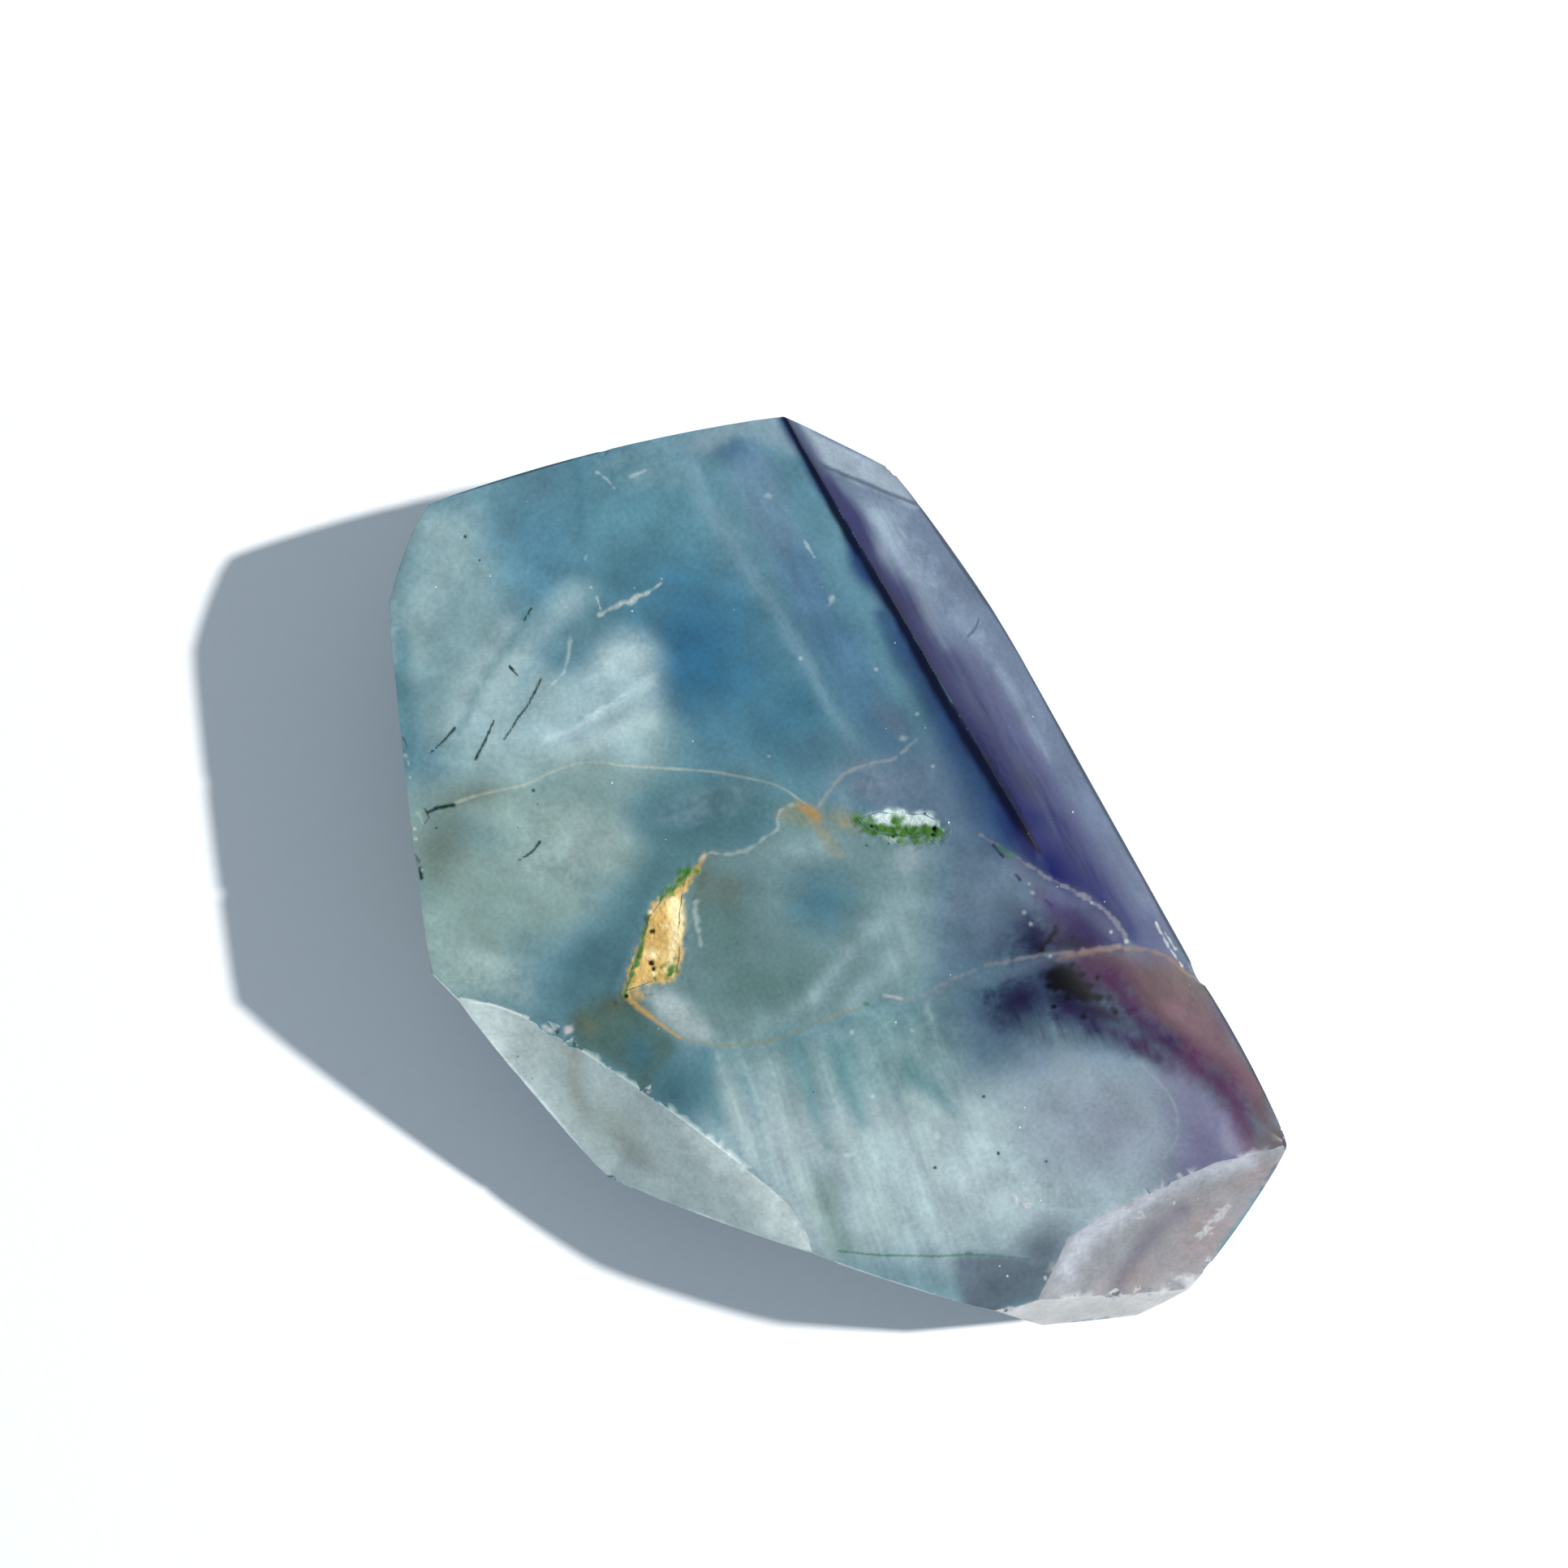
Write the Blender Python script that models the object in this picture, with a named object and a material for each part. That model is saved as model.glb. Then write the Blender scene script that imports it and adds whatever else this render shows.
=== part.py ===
"""A polished freeform of fluorite: one flat, palm-sized stone with hand-cut facets.

The stone lies on its flat base, with its long straight ridge along +Y and its broad face up.
It is built as a net of ridges: named corners joined by slightly bowed edges, with a gently
swollen facet stretched across each loop of them. The ridges are then softened, and the two
crumbly pockets and the small chips are cut into the finished stone. Lengths are in millimetres
until the mesh is scaled to metres at the end.
"""

import math

import bmesh
import bpy
import numpy as np
from mathutils import Matrix, Vector, noise
from mathutils.geometry import delaunay_2d_cdt, normal

# Driving dimensions, in millimetres.
MM = 0.001
TOP = 14.2  # height of the broad face above the base
EDGE_STEP = 2.0  # length of a straight piece along a ridge
GRID_STEP = 1.9  # spacing of the points inside a facet
GRID_MARGIN = 0.9  # clear strip between those points and the facet's ridges
RIDGE_SOFTENING = 0.16  # how far the polishing wheel has cut back each ridge

# Corners of the broad face and of the facets around it, counter-clockwise from the apex.
UPPER_CORNERS = {
    "apex": (16.8, 29.6, TOP),
    "end_left": (-7.0, 36.7, TOP),
    "end_left_low": (-8.1, 36.2, TOP),
    "shoulder": (-12.7, 32.3, TOP),
    "left": (-23.0, 9.2, TOP - 0.2),
    "left_low": (-22.4, 6.7, TOP - 0.4),
    "flank_knee": (-19.2, 3.8, TOP),
    "flank_foot": (-10.7, -14.7, TOP),
    "flank_end": (-10.4, -20.3, TOP - 0.4),
    "keel": (-1.4, -30.2, TOP - 0.3),
    "toe_inner": (1.2, -30.8, TOP - 0.3),
    "toe_rise": (5.2, -28.1, TOP),
    "toe_top": (16.4, -28.9, TOP - 0.2),
    "tip": (21.3, -30.6, TOP - 1.4),
    "ridge_last": (19.0, -24.5, TOP - 0.3),
    "ridge_turn": (17.4, -16.5, TOP),
    "ridge_foot": (16.7, -5.2, TOP),
    "flank_low": (-20.4, -9.4, 8.5),
    "toe_left": (0.5, -33.6, 8.5),
    "toe_middle": (6.6, -36.7, 7.1),
    "toe_right": (10.6, -36.8, 7.8),
    "notch": (22.3, -17.9, 8.5),
    "bend": (23.0, 9.5, 7.8),
    "bevel_end": (21.8, 23.4, 7.8),
}

# Where the steep walls meet the lower chamfer, in the same order, and the flat base under them.
LOWER_CORNERS = {
    "apex": (15.7, 28.3, 4.4),
    "end": (-7.0, 35.3, 3.3),
    "shoulder": (-12.0, 31.2, 3.0),
    "left": (-21.8, 8.2, 3.7),
    "flank": (-18.8, -8.9, 2.8),
    "flank_end": (-9.5, -19.2, 3.5),
    "toe_left": (1.4, -32.2, 3.0),
    "toe_right": (9.6, -35.4, 3.4),
    "tip": (20.2, -29.4, 4.3),
    "bevel": (21.9, -7.5, 2.7),
    "bevel_end": (20.9, 22.6, 3.2),
}
BASE_CORNERS = {
    "apex": (13.6, 25.6, 0.0),
    "end": (-6.0, 32.6, 0.0),
    "shoulder": (-9.9, 29.4, 0.0),
    "left": (-18.9, 7.6, 0.0),
    "flank": (-16.5, -8.0, 0.0),
    "flank_end": (-7.7, -17.2, 0.0),
    "toe_left": (2.9, -29.5, 0.0),
    "toe_right": (8.8, -32.6, 0.0),
    "tip": (17.6, -27.2, 0.0),
    "bevel": (19.6, -8.0, 0.0),
    "bevel_end": (18.2, 20.6, 0.0),
}

# How far an edge bows sideways in plan, to the right of the way it is named.
BOWS = {
    ("apex", "end_left"): 0.65,
    ("end_left_low", "shoulder"): 0.15,
    ("shoulder", "left"): 0.20,
    ("left_low", "flank_knee"): -0.30,
    ("flank_knee", "flank_foot"): -0.45,
    ("flank_foot", "flank_end"): -0.65,
    ("left_low", "flank_low"): 0.20,
    ("flank_low", "flank_end"): 0.15,
    ("flank_end", "keel"): 0.20,
    ("toe_rise", "toe_top"): -0.25,
    ("toe_right", "tip"): 0.30,
    ("tip", "notch"): 0.30,
    ("bend", "bevel_end"): 0.20,
    ("ridge_last", "ridge_turn"): 0.15,
    ("ridge_turn", "ridge_foot"): 0.20,
}

# Facets as loops of corners, counter-clockwise seen from outside, with the height of their swell.
FACETS = {
    "broad_face": (
        "apex end_left end_left_low shoulder left left_low flank_knee flank_foot flank_end keel"
        " toe_inner toe_rise toe_top tip ridge_last ridge_turn ridge_foot",
        0.30,
    ),
    "long_bevel": ("apex ridge_foot ridge_turn ridge_last tip notch bend bevel_end", 0.15),
    "flank": ("flank_end flank_foot flank_knee left_low flank_low", -0.25),
    "toe_slope": ("tip toe_top toe_rise toe_inner toe_right", -0.30),
    "toe_strip": ("toe_inner keel toe_left toe_middle toe_right", 0.10),
    "end_wall": ("end_left apex lower.apex lower.end", 0.25),
    "end_corner": ("end_left_low end_left lower.end", 0.0),
    "shoulder_wall": ("shoulder end_left_low lower.end lower.shoulder", 0.15),
    "left_wall": ("left shoulder lower.shoulder lower.left", 0.25),
    "left_corner": ("left_low left lower.left", 0.0),
    "flank_wall": ("flank_low left_low lower.left lower.flank", 0.15),
    "flank_end_wall": ("flank_end flank_low lower.flank lower.flank_end", 0.15),
    "keel_wall": ("toe_left keel flank_end lower.flank_end lower.toe_left", 0.20),
    "toe_wall": ("toe_right toe_middle toe_left lower.toe_left lower.toe_right", 0.10),
    "tip_wall": ("tip toe_right lower.toe_right lower.tip", 0.15),
    "bevel_wall": ("bevel_end bend notch tip lower.tip lower.bevel lower.bevel_end", 0.15),
    "apex_wall": ("apex bevel_end lower.bevel_end lower.apex", 0.10),
}
CHAMFER_SWELL = 0.12

# Outlines of the two crumbly pockets in the broad face, counter-clockwise, in plan.
TAN_POCKET = (
    (-4.5, 6.3), (-6.8, 5.7), (-8.0, 5.2), (-9.4, 4.0), (-10.9, 2.8), (-12.3, 1.4),
    (-10.3, 1.1), (-9.0, 0.7), (-8.0, 1.4), (-6.9, 3.2), (-5.9, 4.8),
)
GREEN_POCKET = (
    (8.6, 3.3), (7.2, 3.6), (7.4, 2.9), (8.3, 1.7), (9.8, 0.7), (11.4, 0.0),
    (11.8, 0.8), (11.3, 1.5), (10.2, 2.4),
)
POCKET_FLOOR = TOP - 0.28  # the broad face swells a little above TOP there
POCKET_WALL_SLOPE = 0.15  # how far the floor is drawn in from the rim
POCKET_GRID = 0.55
POCKET_LUMPS = 0.16
RAGGED_STEP = 0.6  # length of the steps that break up a pocket's rim
RAGGED_BY = 0.16

CHIP_WOBBLE = 0.35  # unevenness of a scoop, as a share of its radius

# Small conchoidal chips on the ridges: where each is, the radius of its scoop, and how deep it bites.
CHIPS = (
    ((-18.0, 2.2, TOP), 1.3, 0.26),
    ((-16.9, 0.1, TOP), 0.9, 0.20),
    ((-14.4, -5.2, TOP), 1.0, 0.18),
    ((-17.1, 22.6, TOP), 1.2, 0.24),
    ((-18.6, 18.8, TOP), 0.9, 0.18),
    ((-20.1, 15.5, TOP), 0.8, 0.16),
    ((-20.2, -9.6, 8.5), 1.1, 0.24),
    ((10.1, -28.8, TOP - 0.1), 1.2, 0.22),
    ((13.4, -28.8, TOP - 0.1), 0.8, 0.16),
    ((5.8, -33.5, 11.2), 0.9, 0.20),
    ((8.2, -34.8, 9.6), 0.8, 0.18),
    ((12.9, -35.8, 8.6), 1.1, 0.26),
    ((-1.2, -30.3, TOP), 0.9, 0.22),
    ((21.6, -30.5, TOP - 1.4), 0.9, 0.28),
    ((22.5, -17.9, 8.5), 1.5, 0.42),
    ((22.0, 22.6, 7.8), 0.9, 0.24),
    ((4.5, 34.2, TOP), 0.9, 0.16),
    ((21.2, 6.0, 2.8), 1.4, 0.30),
    ((-14.6, -13.4, 3.2), 1.6, 0.34),
    ((4.0, -33.2, 3.1), 1.2, 0.26),
)


def corner_positions():
    """Every named corner as a vector."""
    corners = {name: Vector(at) for name, at in UPPER_CORNERS.items()}
    for prefix, ring in (("lower.", LOWER_CORNERS), ("base.", BASE_CORNERS)):
        for name, at in ring.items():
            corners[prefix + name] = Vector(at)
    return corners


def facet_loops():
    """Every facet as (corner names, swell), with the chamfers and the base worked out from their rings."""
    loops = [(names.split(), swell) for names, swell in FACETS.values()]
    ring = list(LOWER_CORNERS)
    for here, following in zip(ring, ring[1:] + ring[:1]):
        loop = ["lower." + following, "lower." + here, "base." + here, "base." + following]
        loops.append((loop, CHAMFER_SWELL))
    loops.append((["base." + name for name in reversed(ring)], 0.0))
    return loops


def bowed_edge(start, end, bow):
    """The points strictly between two corners, along an edge that bows sideways in plan."""
    along = end - start
    pieces = max(1, round(along.length / EDGE_STEP))
    sideways = Vector((along.y, -along.x, 0.0)).normalized() * bow
    shares = [i / pieces for i in range(1, pieces)]
    return [start + along * s + sideways * 4 * s * (1 - s) for s in shares]


def ridge_net(mesh, corners, loops):
    """Makes one vertex for each corner and for each point along an edge, and returns each facet's loop of them."""
    corner_verts = {name: mesh.verts.new(at) for name, at in corners.items()}
    edges = {}
    rings = []
    for names, swell in loops:
        ring = []
        for a, b in zip(names, names[1:] + names[:1]):
            if (b, a) in edges:
                between = edges[b, a][::-1]
            else:
                bow = BOWS.get((a, b), 0.0) - BOWS.get((b, a), 0.0)
                if names[0].startswith("base."):
                    bow = 0.0
                points = bowed_edge(corners[a], corners[b], bow)
                between = [mesh.verts.new(point) for point in points]
                edges[a, b] = between
            ring += [corner_verts[a]] + between
        rings.append((ring, swell))
    return rings


def distance_to_outline(point, outline):
    """The shortest distance in the plane from a point to a closed outline."""
    best = math.inf
    for a, b in zip(outline, outline[1:] + outline[:1]):
        along = b - a
        share = max(0.0, min(1.0, (point - a).dot(along) / max(along.length_squared, 1e-12)))
        best = min(best, (point - a - along * share).length)
    return best


def inside_outline(point, outline):
    """Whether a ray from the point crosses the closed outline an odd number of times."""
    crossings = 0
    for a, b in zip(outline, outline[1:] + outline[:1]):
        if (a.y > point.y) != (b.y > point.y):
            crossings += point.x < a.x + (point.y - a.y) * (b.x - a.x) / (b.y - a.y)
    return crossings % 2 == 1


def inner_points(outline, step, margin):
    """A triangular grid of points inside the outline, clear of it by the margin."""
    low = Vector((min(p.x for p in outline), min(p.y for p in outline)))
    high = Vector((max(p.x for p in outline), max(p.y for p in outline)))
    row_height = step * math.sqrt(3) / 2
    points = []
    for row in range(int((high.y - low.y) / row_height) + 2):
        shift = step / 2 if row % 2 else 0.0
        for column in range(int((high.x - low.x) / step) + 2):
            point = low + Vector((column * step + shift, row * row_height))
            if inside_outline(point, outline) and distance_to_outline(point, outline) > margin:
                points.append(point)
    return points


def inflated_heights(triangles, edge_heights, count, swell):
    """Heights over the facet's plane: a film stretched between its ridges, blown up by the swell."""
    fixed = len(edge_heights)
    neighbours = [set() for _ in range(count)]
    for triangle in triangles:
        for i in triangle:
            neighbours[i].update(j for j in triangle if j != i)
    system = np.eye(count)
    stretched = np.zeros(count)
    pushed = np.zeros(count)
    stretched[:fixed] = edge_heights
    for i in range(fixed, count):
        system[i, list(neighbours[i])] = -1.0 / len(neighbours[i])
        pushed[i] = 1.0
    film = np.linalg.solve(system, stretched)
    bulge = np.linalg.solve(system, pushed)
    highest = bulge.max()
    return film + bulge * (swell / highest if highest > 0 else 0.0)


def fill_facet(mesh, ring, swell, step=GRID_STEP, margin=GRID_MARGIN):
    """Stretches a facet across a loop of vertices and returns the vertices made inside it."""
    up = normal([vert.co for vert in ring])
    across = up.orthogonal().normalized()
    frame = Matrix((across, up.cross(across), up))
    local = [frame @ vert.co for vert in ring]
    outline = [point.xy for point in local]
    level = sum(point.z for point in local) / len(local)
    flat_base = max(abs(point.z - level) for point in local) < 1e-4 and swell == 0.0
    points = outline + ([] if flat_base else inner_points(outline, step, margin))
    sides = [(i, (i + 1) % len(outline)) for i in range(len(outline))]
    made = delaunay_2d_cdt(points, sides, [list(range(len(outline)))], 1, 1e-6)
    # The triangulation returns its own points, so each is matched to the one that it came from.
    source = [origins[0] for origins in made[3]]
    triangles = [[source[i] for i in triangle] for triangle in made[2]]
    heights = inflated_heights(triangles, [point.z - level for point in local], len(points), swell)
    back = frame.transposed()
    new = [
        mesh.verts.new(back @ Vector((point.x, point.y, level + heights[i])))
        for i, point in enumerate(points)
        if i >= len(outline)
    ]
    verts = list(ring) + new
    for triangle in triangles:
        mesh.faces.new([verts[i] for i in triangle])
    return new


def soften_ridges(mesh, rings):
    """Rounds every edge that two facets share by a small bevel."""
    mesh.edges.ensure_lookup_table()
    ridge_edges = set()
    for ring, _ in rings:
        for a, b in zip(ring, ring[1:] + ring[:1]):
            edge = next(e for e in a.link_edges if e.other_vert(a) == b)
            ridge_edges.add(edge)
    bmesh.ops.bevel(
        mesh,
        geom=sorted(ridge_edges, key=lambda e: e.index),
        offset=RIDGE_SOFTENING,
        offset_type="OFFSET",
        segments=2,
        profile=0.5,
        affect="EDGES",
        clamp_overlap=True,
    )


def add_object(name, mesh, material=None):
    """Turns a closed mesh in millimetres into an object in metres."""
    bmesh.ops.recalc_face_normals(mesh, faces=mesh.faces)
    data = bpy.data.meshes.new(name)
    mesh.to_mesh(data)
    mesh.free()
    data.transform(Matrix.Scale(MM, 4))
    if material:
        data.materials.append(material)
    thing = bpy.data.objects.new(name, data)
    bpy.context.scene.collection.objects.link(thing)
    return thing


def as_cutter(thing, cutters):
    """Keeps an object out of the model and in the collection that the stone is cut by."""
    bpy.context.scene.collection.objects.unlink(thing)
    cutters.objects.link(thing)
    thing.hide_render = True
    thing.display_type = "WIRE"


def ragged(outline):
    """The outline with a point at every short step, each moved a little in or out."""
    points = []
    for a, b in zip(outline, outline[1:] + outline[:1]):
        steps = max(1, round((b - a).length / RAGGED_STEP))
        sideways = Vector(((b - a).y, (a - b).x)).normalized()
        for i in range(steps):
            point = a.lerp(b, i / steps)
            jitter = RAGGED_BY * noise.noise(point.to_3d() * 2.3)
            points.append(point + sideways * jitter)
    return points


def pocket_cutter(name, outline):
    """A closed plug with a lumpy floor, which cuts a pocket of that outline into the broad face."""
    mesh = bmesh.new()
    rim = ragged([Vector(plan) for plan in outline])
    centre = sum(rim, Vector((0.0, 0.0))) / len(rim)
    rings = []
    for height, inset in ((TOP + 1.0, -0.1), (TOP + 0.3, 0.0), (POCKET_FLOOR, POCKET_WALL_SLOPE)):
        ring = []
        for plan in rim:
            at = plan + (centre - plan).normalized() * inset
            ring.append(mesh.verts.new((at.x, at.y, height)))
        rings.append(ring)
    for upper, lower in zip(rings, rings[1:]):
        for i in range(len(rim)):
            j = (i + 1) % len(rim)
            mesh.faces.new((upper[i], lower[i], lower[j], upper[j]))
    mesh.faces.new(rings[0])
    floor = fill_facet(mesh, rings[-1][::-1], 0.0, POCKET_GRID, POCKET_GRID / 2)
    for vert in floor:
        vert.co.z += POCKET_LUMPS * noise.noise(vert.co * 1.7)
    return add_object(name, mesh)


def chip_cutter(name, place, radius, bite, outward):
    """A small uneven pebble that takes a shallow scoop out of a ridge."""
    mesh = bmesh.new()
    centre = place + outward * (radius - bite)
    bmesh.ops.create_icosphere(mesh, subdivisions=2, radius=radius, matrix=Matrix.Translation(centre))
    for vert in mesh.verts:
        wobble = CHIP_WOBBLE * radius * noise.noise(vert.co * 1.3 / radius)
        vert.co += (vert.co - centre).normalized() * wobble
    return add_object(name, mesh)


def outward_at(stone, place):
    """The direction away from the stone at its ridge nearest a place: the mean of the facets there."""
    near = sorted(stone.data.vertices, key=lambda v: (v.co / MM - Vector(place)).length)[:6]
    return sum((v.normal for v in near), Vector()).normalized()


def nearest_point(stone, place):
    """The vertex of the stone nearest to a place, in millimetres."""
    return min((v.co / MM for v in stone.data.vertices), key=lambda co: (co - Vector(place)).length)


def fluorite_material():
    """Polished, cloudy blue-green fluorite."""
    material = bpy.data.materials.new("fluorite")
    material.use_nodes = True
    shader = material.node_tree.nodes["Principled BSDF"]
    shader.inputs["Base Color"].default_value = (0.13, 0.27, 0.32, 1.0)
    shader.inputs["Roughness"].default_value = 0.12
    shader.inputs["Metallic"].default_value = 0.0
    shader.inputs["IOR"].default_value = 1.434
    shader.inputs["Transmission Weight"].default_value = 0.4
    return material


def cut_stone():
    """The stone with its facets polished, before it was chipped."""
    mesh = bmesh.new()
    rings = ridge_net(mesh, corner_positions(), facet_loops())
    for ring, swell in rings:
        fill_facet(mesh, ring, swell)
    soften_ridges(mesh, rings)
    return add_object("fluorite", mesh, fluorite_material())


def main():
    for thing in list(bpy.data.objects):
        bpy.data.objects.remove(thing)
    stone = cut_stone()
    cutters = bpy.data.collections.new("cutters")
    bpy.context.scene.collection.children.link(cutters)
    as_cutter(pocket_cutter("tan_pocket", TAN_POCKET), cutters)
    as_cutter(pocket_cutter("green_pocket", GREEN_POCKET), cutters)
    for number, (place, radius, bite) in enumerate(CHIPS):
        at = nearest_point(stone, place)
        outward = outward_at(stone, place)
        as_cutter(chip_cutter(f"chip_{number}", at, radius, bite, outward), cutters)
    cut = stone.modifiers.new("pockets and chips", "BOOLEAN")
    cut.operation = "DIFFERENCE"
    cut.operand_type = "COLLECTION"
    cut.collection = cutters
    cut.solver = "EXACT"


main()
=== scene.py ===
"""Looks of the polished fluorite freeform, lying on a plain pale table in soft light from one side.

The stone's own mesh is copied, cut finer and smoothed between its ridges, and its two pockets get a
crumbly floor. What grew in the stone (colour zones, veils, needles, fractures, stains and crusts) is a
list of layers, and a few more layers paint light and shade on it: glow on the lower facets, highlight and
shade along rims, sparkle on chips and shade in the crusts' pits. Each layer is a field worked out at every
vertex. The fields give each vertex its colour where the grain is thin and where it is full, its clearness
and its roughness. One node material adds the grain, the dust and the polish.
"""

import math
from dataclasses import dataclass

import bpy
import numpy as np
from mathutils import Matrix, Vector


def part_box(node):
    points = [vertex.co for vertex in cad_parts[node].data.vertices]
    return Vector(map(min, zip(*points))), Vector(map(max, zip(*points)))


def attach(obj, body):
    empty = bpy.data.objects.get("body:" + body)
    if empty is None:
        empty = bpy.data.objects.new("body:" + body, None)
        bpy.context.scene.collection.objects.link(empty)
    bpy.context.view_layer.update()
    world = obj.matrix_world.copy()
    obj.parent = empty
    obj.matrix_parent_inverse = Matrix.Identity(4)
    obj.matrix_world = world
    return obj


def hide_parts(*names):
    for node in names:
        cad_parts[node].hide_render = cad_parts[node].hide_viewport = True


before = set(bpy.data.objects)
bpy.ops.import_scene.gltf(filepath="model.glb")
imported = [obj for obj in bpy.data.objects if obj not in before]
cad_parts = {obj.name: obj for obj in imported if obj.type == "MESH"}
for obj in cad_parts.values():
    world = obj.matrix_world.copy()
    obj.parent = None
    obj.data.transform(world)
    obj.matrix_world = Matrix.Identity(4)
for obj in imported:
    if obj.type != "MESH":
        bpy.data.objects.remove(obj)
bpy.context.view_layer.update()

MM = 0.001
STONE_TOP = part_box("fluorite")[1].z

# The camera looks straight down. A place in the photograph is in pixels, right and down from its corner.
FRAME_PX = 1932
CAMERA_AT = (0.00414, 0.00813, 0.1975)
CAMERA_TURN = math.radians(-30.5)
GROUND_PX = 0.0592 * MM  # how much of the table one pixel covers
FOCAL_PX = CAMERA_AT[2] / GROUND_PX

TABLE_HALF = 1.5

# One lamp from the bevel's side, under a pale even sky.
LIGHT_FROM = (0.70, -0.25, 0.67)
LIGHT_AWAY = 0.9
LIGHT_SIZE = 0.035
LIGHT_POWER = 11.0
LIGHT_COLOUR = (1.0, 0.985, 0.96)
SKY_COLOUR = (0.72, 0.86, 1.0, 1.0)
SKY_STRENGTH = 0.46

# Fineness of the stone's mesh, as lengths of an edge.
WELD = 1e-7  # vertices closer than this, in metres, are one
EVEN_EDGE = 1.1 * MM
UPPER_EDGE = 0.8 * MM
DETAIL_EDGE = 0.16 * MM
DETAIL_GROWTH = 1.0  # how much longer an edge may be for each metre away from a crisp mark
DETAIL_FROM = 6.5 * MM  # crisp marks lie above this height
MOST_ROUNDS = 8
PINNED_TURN = math.cos(math.radians(7.0))  # edges that turn more than this are ridges
SMOOTH_ROUNDS = 30
FADING_PX = 24.0  # how far from its line the fading end of the ridge is smoothed too
SHARP_TURN = math.radians(32.0)

# The pockets' crusts: how deep the pockets are at most, and the lumps and crumbs of what fills them.
BRIM_PX = 10
POCKET_DEEP = 0.6 * MM
CRUST_LUMPS = 0.035 * MM
LUMP = 0.45 * MM
CRUMB = 0.16 * MM
CRUMB_BELOW = 0.02 * MM

# A layer's field is 1 in the middle of a shape, 0 at its edge and less outside, within these limits.
FIELD_FLOOR = -1.0
FIELD_TOP = 1.6
CULL_PX = 90  # a soft edge reaches no further than this beyond a shape's own points
MARK_REACH = 0.25  # how far a ragged mark's grain shakes its field either way
GRAIN_REACH = 0.4  # the same for a zone

# Unevenness: the number of waves it is made of, the size of its bumps, and how far it moves the zones.
WAVES = 14
MOTTLE = 1.3 * MM
GRIT = 0.35 * MM
BILLOW = 3.0 * MM
WANDER = 3.5 * MM
WANDER_PX = 4.0
DEEP_WANDER = 6.0 * MM
DEEP_WANDER_PX = 60.0
CLOUD = 2.6 * MM
CLOUD_CHANGE = 0.12

# The stone apart from its layers.
BODY_COLOUR = (102, 143, 156)
BODY_OTHER = (88, 132, 150)
BODY_CHANGE = 0.5
BODY_CLEAR = 0.3
BODY_ROUGH = 0.09
WORN_PX = 75.0  # the end of the long ridge is worn this far to each side
WORN_ROUGH = 0.95

# The way each facet faces, and how far from that a surface may turn and still belong to it, in degrees.
FACET_FACING = {
    "face": ((0.0, 0.0, 1.0), 18.0),
    "bevel": ((0.76, 0.02, 0.65), 26.0),
    "flank": ((-0.51, -0.24, 0.82), 22.0),
    "toe": ((0.09, -0.54, 0.83), 24.0),
    "strip": ((-0.23, -0.83, 0.50), 26.0),
    "upper": ((0.0, 0.0, 1.0), 80.0),
    "right": ((0.93, 0.0, -0.36), 64.0),
}
FACET_EDGE = 5.0  # over how many degrees a facet's own layers fade into its neighbour's

# What the mesh keeps of the layers for the material.
THIN = "thin_colour"
FULL = "full_colour"
SHARES = "grain_shares"
FINISH = "finish"
GRAINS = ("mottle", "streak", "ray")

# The material's grain, dust and polish, with depths in millimetres.
GRAIN_GAIN = 2.5  # how fast the colour goes from thin to full
GRAIN_START = -0.75
SHADE_LEAST = 0.57
SHADE_OF_GRAIN = 0.56
SHADE_OF_GRIT = 0.4
FLECKS_PER_MM = 0.85
FLECK_SIZE = 0.07
PALE_FLECKS = 0.28  # the share of the places that have one
DARK_FLECKS = 0.07
PALE_DUST = (206, 220, 224)
DARK_DUST = (50, 74, 80)
SCRATCH_ROUGH = 0.06
SCRATCH_DEPTH = 0.0012
PEEL_DEPTH = 0.003
CRUST_DEPTH = 0.12

# Lines that were followed in the photograph: rows of x, y, x, y and so on.
MAIN_RIDGE = (966, 514, 1048, 653, 1130, 792, 1210, 927, 1290, 1060)
RIDGE_END = (1292, 1066, 1340, 1150, 1400, 1235, 1460, 1300, 1540, 1372)  # where it fades away
BEVEL_RIM = (
    1093, 562, 1133, 622, 1171, 679, 1239, 777, 1288, 864, 1336, 954, 1400, 1067, 1440, 1140, 1470, 1192,
)
TIP_RIM = (1484, 1212, 1520, 1275, 1556, 1340, 1580, 1385, 1588, 1412)
PALE_BAND = (846, 551, 861, 602, 884, 638, 928, 712, 989, 806, 1014, 857, 1050, 925)
RIDGE_CORE = (
    966, 514, 1000, 576, 1039, 647, 1102, 751, 1140, 820, 1179, 890, 1236, 980, 1264, 1026, 1280, 1048,
)
UPPER_FRACTURE = (
    559, 990, 592, 979, 646, 967, 674, 954, 700, 944, 728, 939, 776, 944, 809, 946, 870, 950, 912, 957,
    958, 968, 992, 990,
)
BRANCH = (1008, 994, 1024, 972, 1037, 957, 1055, 946, 1081, 939, 1101, 935, 1129, 911)
LOWER_FRACTURE = (
    1090, 1226, 1116, 1231, 1143, 1223, 1166, 1210, 1210, 1192, 1258, 1181, 1294, 1176, 1342, 1171,
    1388, 1167,
)
VIOLET_FRACTURE = (
    1208, 1029, 1225, 1039, 1253, 1057, 1289, 1080, 1317, 1095, 1342, 1108, 1365, 1126, 1383, 1146,
    1391, 1167,
)
STEPPED_RIM = (
    976, 992, 963, 997, 958, 1008, 958, 1020, 943, 1032, 922, 1046, 897, 1053, 873, 1051, 860, 1063,
)
LOWER_RIM = (
    772, 1226, 788, 1242, 805, 1255, 825, 1270, 841, 1280, 866, 1284, 892, 1288, 941, 1284, 986, 1269,
    1020, 1255, 1070, 1238,
)
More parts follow.
